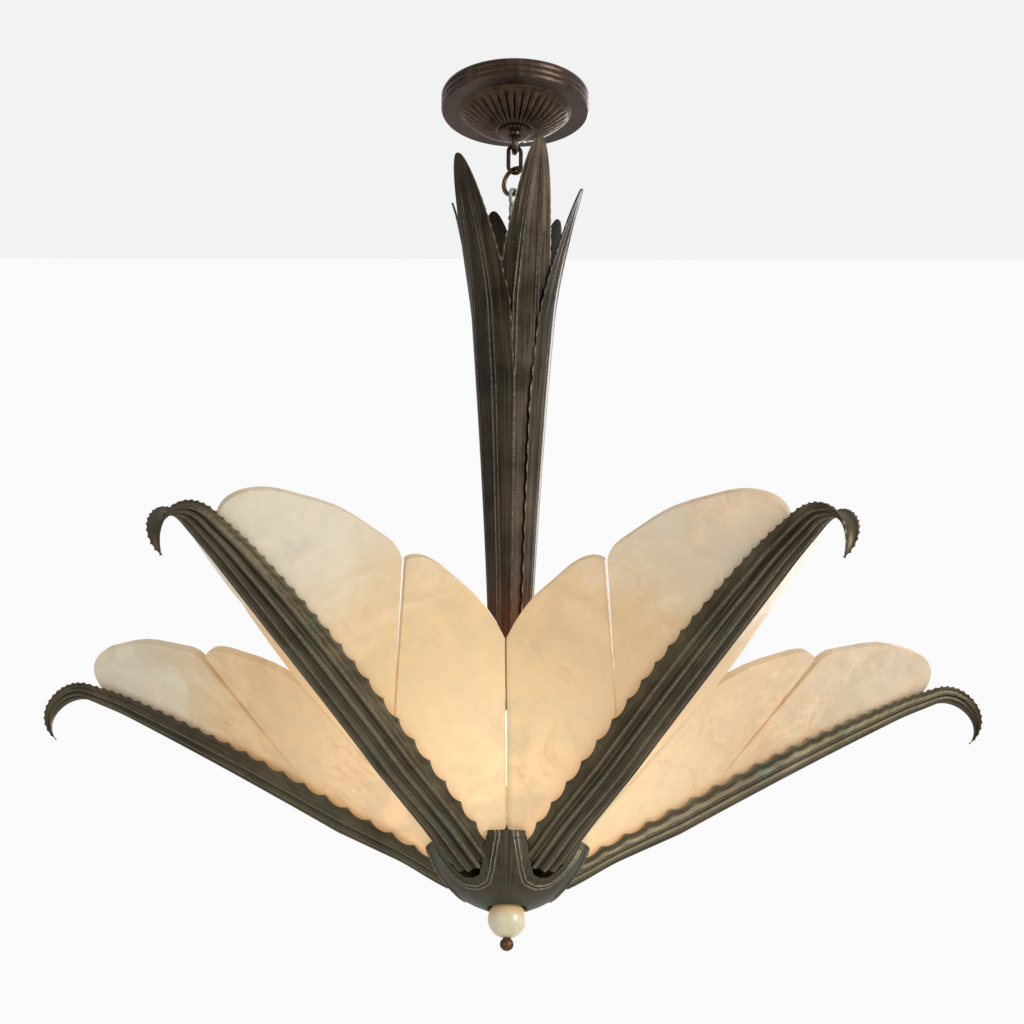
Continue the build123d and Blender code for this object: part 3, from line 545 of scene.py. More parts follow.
def flute_tree() -> GeometryTree:
    """Tree that sinks radial flutes into a ring-shaped zone of a turned dish."""
    sizes = dict.fromkeys(("Depth", "Inner_Radius", "Outer_Radius", "Fade"), "Float")
    tree = GeometryTree("flutes", Base="Geometry", Count="Int", **sizes)
    position = tree.add("GeometryNodeInputPosition", {})
    across, along, _ = tree.parts(position.outputs[0])
    radius = tree.length(across, along)
    angle = tree.math("ARCTAN2", along, across)
    half_count = tree.math("MULTIPLY", tree.value("Count"), 0.5)
    wave = tree.math("SINE", tree.math("MULTIPLY", angle, half_count))
    groove = tree.math("POWER", tree.math("ABSOLUTE", wave), 0.7)
    groove = tree.math("SUBTRACT", 1.0, groove)
    inner_end = tree.math("ADD", tree.value("Inner Radius"), tree.value("Fade"))
    outer_start = tree.math("SUBTRACT", tree.value("Outer Radius"), tree.value("Fade"))
    rise = tree.ramp(radius, tree.value("Inner Radius"), inner_end)
    fall = tree.ramp(radius, outer_start, tree.value("Outer Radius"), 1.0, 0.0)
    zone = tree.math("MULTIPLY", rise, fall)
    sink = tree.math("MULTIPLY", tree.math("MULTIPLY", zone, groove), tree.value("Depth"))
    offset = tree.add("ShaderNodeCombineXYZ", {"Z": sink})
    moved = tree.add(
        "GeometryNodeSetPosition", {"Geometry": tree.value("Base"), "Offset": offset.outputs[0]}
    )
    # Flute tops get a lighter mark, partly wear and partly painted highlight; the grooves get a darker
    # one, painted shade.
    flute_sheen_shade = tree.math("SUBTRACT", 0.45, tree.math("MULTIPLY", groove, 1.6))
    marked = tree.add(
        "GeometryNodeStoreNamedAttribute",
        {
            "Geometry": moved.outputs[0],
            "Name": "tone_wear_sheen_shade",
            "Value": tree.math("MULTIPLY", zone, flute_sheen_shade),
        },
        data_type="FLOAT",
        domain="POINT",
    )
    tree.finish(marked.outputs[0])
    return tree


def thread_tree() -> GeometryTree:
    """Tree that winds a rounded thread round the vertical axis."""
    sizes = dict.fromkeys(("Turns", "Radius", "Height", "Wire_Radius"), "Float")
    tree = GeometryTree("thread", **sizes)
    helix = tree.add(
        "GeometryNodeCurveSpiral",
        {
            "Resolution": 28,
            "Rotations": tree.value("Turns"),
            "Start Radius": tree.value("Radius"),
            "End Radius": tree.value("Radius"),
            "Height": tree.value("Height"),
        },
    )
    section = tree.add(
        "GeometryNodeCurvePrimitiveCircle",
        {"Resolution": 8, "Radius": tree.value("Wire Radius")},
        mode="RADIUS",
    )
    wire = tree.add(
        "GeometryNodeCurveToMesh",
        {"Curve": helix.outputs[0], "Profile Curve": section.outputs[0], "Fill Caps": True},
    )
    tree.finish(wire.outputs[0])
    return tree


# ---------------------------------------------------------------- finishes
@dataclass(frozen=True)
class Noise:
    """Settings of a cloudy noise; its features are about one over scale metres wide."""

    scale: float
    detail: float = 4.0
    roughness: float = 0.55
    distortion: float = 0.0


class ShaderGraph(NodeGraph):
    """Nodes of one material, with short calls for what the finishes need."""

    def __init__(self, name: str) -> None:
        """Start a material with a Principled shader."""
        self.material = bpy.data.materials.new(name)
        self.material.use_nodes = True
        super().__init__(self.material.node_tree)
        self.shader = self.tree.nodes["Principled BSDF"]
        self.coordinates = self.tree.nodes.new("ShaderNodeTexCoord").outputs["Object"]

    def attribute(self, name: str, output: str) -> bpy.types.NodeSocket:
        """A named attribute of the mesh, as Vector or Fac."""
        return self.add("ShaderNodeAttribute", {}, attribute_name=name).outputs[output]

    def stretched(self, vector: bpy.types.NodeSocket, scale: Sequence[float]) -> bpy.types.NodeSocket:
        """Coordinates scaled differently along each axis."""
        return self.add("ShaderNodeMapping", {"Vector": vector, "Scale": scale}).outputs[0]

    def noise(self, look: Noise, vector: bpy.types.NodeSocket | None = None) -> bpy.types.NodeSocket:
        """Cloudy noise from 0 to 1, over the piece's own coordinates unless told otherwise."""
        made = self.add(
            "ShaderNodeTexNoise",
            {
                "Vector": vector or self.coordinates,
                "Scale": look.scale,
                "Detail": look.detail,
                "Roughness": look.roughness,
                "Distortion": look.distortion,
            },
        )
        return made.outputs[0]

    def bump(self, height: object, strength: float, distance: float) -> None:
        """Give the shader a bumpy normal."""
        made = self.add(
            "ShaderNodeBump", {"Height": height, "Strength": strength, "Distance": distance}
        )
        self.set("Normal", made.outputs[0])

    def set(self, name: str, source: object) -> None:
        """Link or set one input of the shader."""
        self.feed(self.shader.inputs[name], source)


@dataclass(frozen=True)
class Finish:
    """A surface finish; its material is made once."""

    name: str

    def material(self) -> bpy.types.Material:
        """The finish's material."""
        return bpy.data.materials.get(self.name) or self.build()

    def build(self) -> bpy.types.Material:
        """Make the material; each finish has its own."""
        raise NotImplementedError


@dataclass(frozen=True)
class Bronze(Finish):
    """Patinated bronze with blotches, drawn streaks and some verdigris. Ridges are lighter, partly wear
    and partly painted highlight; hollows are darker as painted shade; the stem's finish adds painted
    warm lamplight near its foot.
    """

    dark: Colour = (0.044, 0.033, 0.019)
    light: Colour = (0.118, 0.096, 0.056)
    # Lighter colour where the mark is high: partly wear, partly painted highlight.
    wear_and_highlight: Colour = (0.300, 0.265, 0.180)
    # Dark laid where the mark is low: painted shade in hollows and grooves, and the boss under the
    # hanger's pale strap.
    hollow: Colour = (0.008, 0.006, 0.004)
    green: Colour = (0.045, 0.070, 0.042)
    green_share: float = 0.5
    metallic: float = 0.82
    specular: float = 0.25
    roughness: Levels = (0.34, 0.52)
    follows_surface: bool = True
    # Painted warm lamplight on the stem near its foot: its colour, the heights it fades over and its
    # share.
    foot: Colour = (0.085, 0.030, 0.013)
    lamp_glow_levels: Levels | None = None
    lamp_glow_share: float = 0.85
    hollow_shade_share: float = 0.85
    blotches: Noise = Noise(16.0, 5.0, 0.6, 0.4)
    streaks: Noise = Noise(1.0, 4.0, 0.6)
    grit: Noise = Noise(420.0, 5.0, 0.65)
    patches: Noise = Noise(22.0, 6.0, 0.62, 0.8)
    streak_scale: Triple = (420.0, 9.0, 1.0)
    plain_streak_scale: Triple = (160.0, 160.0, 30.0)
    streak_relief: float = 1.6

    def build(self) -> bpy.types.Material:
        """Make the patina."""
        graph = ShaderGraph(self.name)
        if self.follows_surface:
            run = graph.stretched(graph.attribute("grain", "Vector"), self.streak_scale)
        else:
            run = graph.stretched(graph.coordinates, self.plain_streak_scale)
        blotches = graph.noise(self.blotches)
        streaks = graph.noise(self.streaks, run)
        grit = graph.noise(self.grit)
        tone = graph.math("MULTIPLY", graph.math("ADD", blotches, streaks), 0.5)
        colour = graph.mix(graph.ramp(tone, 0.36, 0.66), self.dark, self.light)
        verdigris = graph.ramp(graph.noise(self.patches), 0.5, 0.72, 0.0, self.green_share)
        colour = graph.mix(verdigris, colour, self.green)
        # Painted warm lamplight from the bulbs, strongest towards the stem's foot.
        if self.lamp_glow_levels:
            height = graph.parts(graph.coordinates)[2]
            painted_lamp_glow = graph.ramp(height, *self.lamp_glow_levels, 0.0, self.lamp_glow_share)
            colour = graph.mix(painted_lamp_glow, colour, self.foot)
        # Below 0 the mark darkens hollows with painted shade; above 0 it lightens ridges, partly wear
        # and partly painted highlight.
        tone_wear_sheen_shade = graph.attribute("tone_wear_sheen_shade", "Fac")
        colour = graph.mix(graph.ramp(tone_wear_sheen_shade, 0.0, -1.0, 0.0, self.hollow_shade_share), colour, self.hollow)
        wear_sheen_shade_marks = graph.math("MULTIPLY", tone_wear_sheen_shade, graph.ramp(grit, 0.3, 0.62, 0.25, 1.0))
        colour = graph.mix(graph.ramp(wear_sheen_shade_marks, 0.0, 1.0), colour, self.wear_and_highlight)
        graph.set("Base Color", colour)
        graph.set("Metallic", self.metallic)
        graph.set("Specular IOR Level", self.specular)
        graph.set("Roughness", graph.ramp(streaks, 0.3, 0.7, *self.roughness))
        relief = graph.math("ADD", grit, graph.math("MULTIPLY", streaks, self.streak_relief))
        graph.bump(relief, 0.35, 0.00035)
        return graph.material


@dataclass(frozen=True)
class Alabaster(Finish):
    """Honed alabaster lit from inside: brightest by the lamps, greyer at the outer tips."""

    stone: Colour = (0.415, 0.370, 0.290)
    # Stone colour near the lamps, warmed as painted lamplight.
    painted_lamplit_stone: Colour = (0.400, 0.325, 0.195)
    glow_near: Colour = (0.600, 0.370, 0.185)
    glow_middle: Colour = (0.345, 0.185, 0.072)
    glow_far: Colour = (0.225, 0.185, 0.125)
    glow_edge: Colour = (0.520, 0.190, 0.035)
    # Colour of painted shade in the stone, beside the seams and on the slabs' rounded edges.
    rim: Colour = (0.300, 0.205, 0.095)
    vein: Colour = (0.330, 0.150, 0.060)
    # Darker, pinker stone and glow for the +X slabs: partly the stone's own tint, partly painted shade.
    rosy_shaded_stone: Colour = (0.315, 0.258, 0.180)
    rosy_shaded_glow: Colour = (0.290, 0.182, 0.102)
    healed: Colour = (0.470, 0.350, 0.215)
    lamp_level: float = -(LAYOUT.hub_drop - 120.0) * MM
    reach: Levels = (0.11, 0.36)
    wander: float = 0.16
    sweep: Noise = Noise(9.0, 3.0, 0.5, 0.6)
    clouds: Noise = Noise(24.0, 6.0, 0.62, 0.9)
    mottle: Noise = Noise(150.0, 5.0, 0.6)
    vein_lines: Noise = Noise(13.0, 3.0, 0.5, 1.2)
    vein_half_width: float = 0.035
    vein_share: float = 0.6
    vein_strength: float = 0.48
    rim_share: float = 0.3
    patchiness: Levels = (0.70, 1.15)
    fineness: Levels = (0.95, 1.05)
    roughness: Levels = (0.34, 0.48)
    edge_band: Levels = (0.040, 0.020)
    edge_reach: Levels = (0.30, 0.12)
    edge_strength: float = 0.25
    seam_band: Levels = (0.0065, 0.0015)
    seam_side: Levels = (-0.0008, 0.0008)
    seam_reach: Levels = (0.24, 0.12)
    seam_strength: float = 0.62
    rosy_shade_span: Levels = (0.05, 0.25)
    rosy_shade_wander: float = 0.5
    rosy_shade_strength: float = 0.60
    crack_scale: float = 30.0
    crack_drift: float = 0.09
    crack_drift_scale: float = 22.0
    crack_half_width: float = 0.13
    crack_strength: float = 0.38

    def build(self) -> bpy.types.Material:
        """Make the lit stone."""
        graph = ShaderGraph(self.name)
        parts = graph.parts(graph.coordinates)
        sweep, clouds, mottle = (graph.noise(n) for n in (self.sweep, self.clouds, self.mottle))
        rise = graph.math("ADD", parts[2], -self.lamp_level)
        wander = graph.math("MULTIPLY", graph.math("SUBTRACT", clouds, 0.5), self.wander)
        distance = graph.math("ADD", graph.length(parts[0], parts[1], rise), wander)
        near, far = self.reach
        middle = 0.5 * (near + far)
        glow = graph.mix(graph.ramp(distance, near, middle), self.glow_near, self.glow_middle)
        glow = graph.mix(graph.ramp(distance, middle, far), glow, self.glow_far)
        glow = graph.mix(self.edge_share(graph, parts), glow, self.glow_edge)
        glow = graph.mix(self.seam_share(graph, parts), glow, self.rim)
        # Base colour warmer near the lamps: painted lamplight.
        base = graph.mix(graph.ramp(distance, middle, far), self.painted_lamplit_stone, self.stone)
        rosy_and_shade = self.rosy_and_shade_share(graph, parts[0], clouds)
        healed = graph.math("MULTIPLY", self.healed_cracks(graph, rosy_and_shade), graph.ramp(sweep, 0.42, 0.62))
        # The slabs' rounded edges and narrow sides take the shade colour: painted shade.
        rim = graph.math("MULTIPLY", graph.attribute("rim", "Fac"), self.rim_share)
        veins = graph.math("MULTIPLY", self.veins(graph, sweep), self.vein_share)
        # Mix towards the darker pink copies: partly tint, partly painted shade.
        for name, colour, rosy_shaded_colour in (
            ("Base Color", base, self.rosy_shaded_stone),
            ("Emission Color", glow, self.rosy_shaded_glow),
        ):
            colour = graph.mix(rosy_and_shade, colour, rosy_shaded_colour)
            for share, change in ((healed, self.healed), (rim, self.rim), (veins, self.vein)):
                colour = graph.mix(share, colour, change)
            graph.set(name, colour)
        patchy = graph.ramp(clouds, 0.3, 0.72, *self.patchiness)
        fine = graph.ramp(mottle, 0.3, 0.7, *self.fineness)
        graph.set("Emission Strength", graph.math("MULTIPLY", patchy, fine))
        graph.set("Roughness", graph.ramp(mottle, 0.3, 0.7, *self.roughness))
        graph.bump(mottle, 0.12, 0.0004)
        return graph.material

    def from_plane(
        self, graph: ShaderGraph, parts: Sequence[bpy.types.NodeSocket], first: float
    ) -> tuple[bpy.types.NodeSocket, bpy.types.NodeSocket]:
        """Signed distance from the nearest of five upright planes, and distance from the axis.

        Args:
            graph: Material under construction.
            parts: The point's X, Y and Z.
            first: Direction of the first plane in degrees.

        Returns:
            Distance aside of the plane, positive counter-clockwise, and distance from the axis.
        """
        step = 2 * math.pi / LAYOUT.arm_count
        angle = graph.math("ARCTAN2", parts[1], parts[0])
        turned = graph.math("ADD", angle, 4 * math.pi - math.radians(first) + step / 2)
        local = graph.math("SUBTRACT", graph.math("MODULO", turned, step), step / 2)
        flat = graph.length(parts[0], parts[1])
        return graph.math("MULTIPLY", flat, graph.math("SINE", local)), flat

    def edge_share(self, graph: ShaderGraph, parts: Sequence[bpy.types.NodeSocket]) -> object:
        """How near a point is to the upright plane of its arm."""
        aside, flat = self.from_plane(graph, parts, LAYOUT.first_arm_angle)
        away = graph.math("ABSOLUTE", aside)
        near = graph.ramp(away, *self.edge_band, 0.0, self.edge_strength)
        return graph.math("MULTIPLY", near, graph.ramp(flat, *self.edge_reach))

    def seam_share(self, graph: ShaderGraph, parts: Sequence[bpy.types.NodeSocket]) -> object:
        """Shade beside the seam of two slabs, where the light inside falls off."""
        aside, flat = self.from_plane(graph, parts, LAYOUT.arm_angle(0.5))
        near = graph.ramp(aside, *self.seam_band, 0.0, self.seam_strength)
        shade = graph.math("MULTIPLY", near, graph.ramp(aside, *self.seam_side))
        return graph.math("MULTIPLY", shade, graph.ramp(flat, *self.seam_reach))

    def rosy_and_shade_share(
        self, graph: ShaderGraph, across: bpy.types.NodeSocket, clouds: bpy.types.NodeSocket
    ) -> bpy.types.NodeSocket:
        """How tinted and darker the stone is, more so in the slabs of the +X side: partly its own pink
        tint, partly painted shade.
        """
        wander = graph.math("MULTIPLY", graph.math("SUBTRACT", clouds, 0.5), self.rosy_shade_wander)
        place = graph.math("ADD", across, wander)
        return graph.ramp(place, *self.rosy_shade_span, 0.0, self.rosy_shade_strength)

    def healed_cracks(
        self, graph: ShaderGraph, rosy_and_shade: bpy.types.NodeSocket
    ) -> bpy.types.NodeSocket:
        """Pale net of healed cracks, only in the tinted slabs."""
        drift = graph.add(
            "ShaderNodeTexNoise",
            {"Vector": graph.coordinates, "Scale": self.crack_drift_scale, "Detail": 4.0},
        ).outputs[1]
        moved = graph.add(
            "ShaderNodeVectorMath",
            {0: drift, 1: (self.crack_drift,) * 3, 2: graph.coordinates},
            operation="MULTIPLY_ADD",
        ).outputs[0]
        cells = graph.add(
            "ShaderNodeTexVoronoi",
            {"Vector": moved, "Scale": self.crack_scale},
            feature="DISTANCE_TO_EDGE",
        ).outputs[0]
        line = graph.ramp(cells, self.crack_half_width, 0.0, 0.0, self.crack_strength)
        return graph.math("MULTIPLY", line, rosy_and_shade)

    def veins(self, graph: ShaderGraph, sweep: bpy.types.NodeSocket) -> bpy.types.NodeSocket:
        """Thin wandering veins that come and go over the stone."""
        lines = graph.noise(self.vein_lines)
        ridge = graph.math("ABSOLUTE", graph.math("SUBTRACT", lines, 0.5))
        thin = graph.ramp(ridge, self.vein_half_width, 0.0)
        come_and_go = graph.ramp(sweep, 0.42, 0.64, 0.0, self.vein_strength)
        return graph.math("MULTIPLY", thin, come_and_go)


@dataclass(frozen=True)
class BallStone(Finish):
    """Polished pale alabaster, warmer towards the casting above it, with a faint painted glow."""

    pale: Colour = (0.56, 0.50, 0.34)
    cloudy: Colour = (0.44, 0.38, 0.24)
    warm: Colour = (0.62, 0.36, 0.15)
    levels: Levels = (-0.812, -0.800)
    warm_share: float = 0.7
    clouds: Noise = Noise(70.0, 5.0, 0.6, 0.8)
    glow: Levels = (0.14, 0.22)
    roughness: Levels = (0.24, 0.36)

    def build(self) -> bpy.types.Material:
        """Make the stone."""
        graph = ShaderGraph(self.name)
        height = graph.parts(graph.coordinates)[2]
        clouds = graph.noise(self.clouds)
        colour = graph.mix(graph.ramp(clouds, 0.35, 0.7), self.pale, self.cloudy)
        colour = graph.mix(graph.ramp(height, *self.levels, 0.0, self.warm_share), colour, self.warm)
        graph.set("Base Color", colour)
        # Painted glow: the ball gives off a little light in its own colour.
        graph.set("Emission Color", colour)
        graph.set("Emission Strength", graph.ramp(clouds, 0.2, 0.8, *self.glow))
        graph.set("Roughness", graph.ramp(clouds, 0.3, 0.7, *self.roughness))
        graph.bump(clouds, 0.05, 0.0003)
        return graph.material


@dataclass(frozen=True)
class Plain(Finish):
    """Machined, plated or glazed fitting with a fine uneven surface."""

    colour: Colour = (0.40, 0.38, 0.34)
    soiled: Colour = (0.24, 0.21, 0.17)
    metallic: float = 0.9
    roughness: Levels = (0.32, 0.5)
    marks: Noise = Noise(120.0, 6.0, 0.65)
    dust: Noise = Noise(30.0, 4.0, 0.6, 0.5)
    stretch: Triple = (1.0, 1.0, 6.0)

    def build(self) -> bpy.types.Material:
        """Make the finish."""
        graph = ShaderGraph(self.name)
        marks = graph.noise(self.marks, graph.stretched(graph.coordinates, self.stretch))
        dust = graph.noise(self.dust)
        graph.set("Base Color", graph.mix(graph.ramp(dust, 0.45, 0.75), self.colour, self.soiled))
        graph.set("Metallic", self.metallic)
        graph.set("Roughness", graph.ramp(marks, 0.3, 0.7, *self.roughness))
        graph.bump(marks, 0.15, 0.0003)
        return graph.material


@dataclass(frozen=True)
class LitGlass(Finish):
    """Frosted bulb glass, lit, brighter round its middle."""

    glass: Colour = (0.90, 0.84, 0.72)
    light: Colour = (1.0, 0.78, 0.46)
    middle_level: float = -(LAYOUT.hub_drop - 128.0) * MM
    half_length: float = 0.04
    glow: Levels = (1.15, 0.75)
    frost: Noise = Noise(500.0, 3.0, 0.6)
    roughness: Levels = (0.35, 0.5)

    def build(self) -> bpy.types.Material:
        """Make the glass."""
        graph = ShaderGraph(self.name)
        height = graph.parts(graph.coordinates)[2]
        away = graph.math("ABSOLUTE", graph.math("ADD", height, -self.middle_level))
        frost = graph.noise(self.frost)
        graph.set("Base Color", (*self.glass, 1.0))
        graph.set("Emission Color", (*self.light, 1.0))
        graph.set("Emission Strength", graph.ramp(away, 0.0, self.half_length, *self.glow))
        graph.set("Roughness", graph.ramp(frost, 0.3, 0.7, *self.roughness))
        return graph.material


ARM_BRONZE = Bronze("arm_bronze_patina", wear_and_highlight=(0.215, 0.190, 0.130))
STEM_BRONZE = Bronze(
    "stem_bronze_patina",
    dark=(0.017, 0.011, 0.007),
    light=(0.078, 0.060, 0.040),
    green_share=0.2,
    # Painted warm lamplight reddens the stem towards its foot.
    lamp_glow_levels=(-0.485, -0.550),
)
HUB_BRONZE = Bronze(
    "hub_bronze_patina",
    dark=(0.042, 0.034, 0.021),
    light=(0.094, 0.080, 0.050),
    green=(0.030, 0.072, 0.045),
    green_share=0.7,
)
INNER_BRONZE = Bronze(
    "inner_bronze",
    dark=(0.020, 0.015, 0.010),
    light=(0.055, 0.043, 0.028),
    green_share=0.35,
    follows_surface=False,
)
CANOPY_BRONZE = Bronze(
    "canopy_bronze_patina",
    dark=(0.034, 0.021, 0.014),
    light=(0.082, 0.055, 0.038),
    wear_and_highlight=(0.175, 0.120, 0.090),
    green=(0.090, 0.026, 0.020),
    green_share=0.45,
    roughness=(0.22, 0.40),
    follows_surface=False,
)
CHAIN_BRONZE = Bronze(
    "chain_bronze_patina",
    dark=(0.075, 0.036, 0.018),
    light=(0.210, 0.105, 0.055),
    green=(0.035, 0.022, 0.016),
    green_share=0.6,
    follows_surface=False,
)
VERDIGRIS = Bronze(
    "verdigris",
    dark=(0.19, 0.24, 0.21),
    light=(0.42, 0.50, 0.44),
    green=(0.16, 0.12, 0.07),
    hollow=(0.030, 0.024, 0.018),
    green_share=0.5,
    metallic=0.1,
    roughness=(0.6, 0.8),
    follows_surface=False,
)
STONE = Alabaster("lit_alabaster")
BALL_STONE = BallStone("ball_stone")
STEEL = Plain("plated_steel")
PORCELAIN = Plain(
    "glazed_porcelain",
    colour=(0.80, 0.77, 0.70),
    soiled=(0.55, 0.50, 0.42),
    metallic=0.0,
    roughness=(0.16, 0.28),
)
BULB_GLASS = LitGlass("bulb_glass_lit")


# ---------------------------------------------------------------- ceiling fitting
@dataclass
class CeilingFitting:
    """Fluted canopy with its collar and loop; the crossbar and nipple stay as they are."""

    radius: float = 70.0
    rim_height: float = 19.0
    dome_radius: float = 54.0
    dome_drop: float = 21.0
    wall: float = 1.6
    hole_radius: float = 6.0
    moulding_step: float = 1.2
    flutes: int = 36
    flute_depth: float = 2.6
    collar_radius: float = 16.0
    collar_thickness: float = 3.0
    collar_ridges: int = 24
    neck_radius: float = 6.5
    loop_radius: float = 7.5
    loop_wire: float = 3.0
    neck_gap: float = 0.6
    columns_per_flute: int = 10

    @property
    def collar_bottom(self) -> float:
        """Level of the collar's underside."""
        return -(self.rim_height + self.dome_drop + self.collar_thickness)

    @property
    def loop_centre(self) -> float:
        """Level of the loop's middle."""
        return self.collar_bottom - self.neck_gap - self.loop_wire - self.loop_radius

    def face_profile(self, inset: float) -> Array:
        """Line of the canopy's face from the ceiling to its hole, moved in by inset."""
        rim = self.radius - inset
        pitch = self.rim_height / 3
        bulge = np.sin(np.linspace(0, math.pi, 9)) * self.moulding_step
        levels = np.linspace(0.0, -pitch, 9)
        bands = [np.column_stack((rim + bulge, levels - index * pitch)) for index in range(3)]
        bands[2][-1, 1] += inset
        shelf = -self.rim_height + inset
        edge = self.dome_radius - inset
        shelf_line = np.column_stack((np.linspace(rim, edge, 8), np.full(8, shelf)))
        lip = np.array(((edge - 0.8, shelf - 1.2), (edge - 1.6, shelf - 1.5)))
        share = np.linspace(0.06, 1.0, 34)
        drop = self.dome_drop - 1.0
        dome = np.column_stack(
            (
                edge - 1.6 - (edge - 1.6 - self.collar_radius) * share,
                shelf - 1.4 - (drop - 0.4) * np.sin(share * math.pi / 2) ** 0.92,
            )
        )
        foot = np.array(((self.hole_radius, -self.rim_height - self.dome_drop + inset),))
        return np.vstack((*bands, shelf_line, lip, dome, foot))

    def canopy(self) -> bpy.types.Object:
        """Fluted shell of the canopy."""
        outer, inner = self.face_profile(0.0), self.face_profile(self.wall)
        profile = np.vstack((outer, inner[::-3]))
        columns = self.flutes * self.columns_per_flute
        base = make_object("canopy_base", Surface.grid(lathe(profile, columns)))
        mesh = flute_tree().result(
            "canopy_cover",
            {
                "Count": self.flutes,
                "Depth": self.flute_depth * MM,
                "Inner Radius": (self.collar_radius + 1.5) * MM,
                "Outer Radius": (self.dome_radius - 3.0) * MM,
                "Fade": 7.0 * MM,
                "Material": CANOPY_BRONZE.material(),
            },
            base.data,
        )
        bpy.data.objects.remove(base)
        return link_mesh("canopy_cover", mesh)

    def collar(self) -> bpy.types.Object:
        """Collar with a ring of short ridges round its edge."""
        top = -(self.rim_height + self.dome_drop)
        bottom = self.collar_bottom
        outer = self.collar_radius - 1.0
        profile = np.array(
            (
                (5.05, top),
                (outer - 0.4, top),
                (outer, top - 0.5),
                (outer, bottom + 1.0),
                (outer - 1.2, bottom + 0.2),
                (outer - 4.0, bottom),
                (5.05, bottom),
            )
        )
        disc = Surface.grid(lathe(profile, 96))
        ridge = Surface.grid(self.ridge_rings(outer, top, bottom), False, True)
        ridge.faces += [tuple(range(8))[::-1], tuple(range(len(ridge.points) - 8, len(ridge.points)))]
        base = make_object("collar_ridge", ridge)
        ridges = radial_repeat_tree().result(
            "collar_ridges",
            {"Count": self.collar_ridges, "Material": CANOPY_BRONZE.material()},
            base.data,
        )
        bpy.data.objects.remove(base)
        piece = make_object("collar_rim", disc)
        return merge_meshes(piece, [ridges])

    def ridge_rings(self, radius: float, top: float, bottom: float) -> Array:
        """Rings of one upright ridge with rounded ends, on the +X side."""
        levels = np.linspace(top - 0.2, bottom + 0.5, 7)
        shares = np.sin(np.linspace(0.12, math.pi - 0.12, 7)) ** 0.5
        angles = 2 * math.pi * np.arange(8) / 8
        rings = [
            np.column_stack(
                (
                    radius + 0.1 + 0.85 * share * np.cos(angles),
                    1.25 * share * np.sin(angles),
                    np.full(8, level),
                )
            )
            for level, share in zip(levels, shares)
        ]
        return np.stack(rings)

    def loop(self) -> bpy.types.Object:
        """Cast loop under the collar: a ring on a short waisted neck."""
        ring = wire_ring_tree().result(
            "loop_ring",
            {
                "Half Width": self.loop_radius * MM,
                "Leg": 0.0,
                "Wire Radius": self.loop_wire * MM,
                "Material": CANOPY_BRONZE.material(),
            },
        )
        stand_up(ring, 90.0, self.loop_centre)
        top = self.collar_bottom - 0.1
        bottom = self.loop_centre + self.loop_radius - 2.0
        levels = np.linspace(top, bottom, 9)
        waist = self.neck_radius - 0.9 * np.sin(np.linspace(0, math.pi, 9))
        wall = np.column_stack((waist, levels))
        bore = np.array(((2.2, bottom), (2.2, top)))
        neck = Surface.grid(lathe(np.vstack((wall, bore)), 48))
        return merge_meshes(make_object("loop_and_neck", neck), [ring])

    def build(self) -> None:
        """Make and dress the ceiling fitting."""
        canopy = self.canopy()
        settle(canopy, Body.CANOPY, CANOPY_BRONZE, ["canopy_shell"])
        settle(self.collar(), Body.CANOPY, CANOPY_BRONZE, ["canopy_collar"])
        settle(self.loop(), Body.CANOPY, CANOPY_BRONZE, ["canopy_loop"])


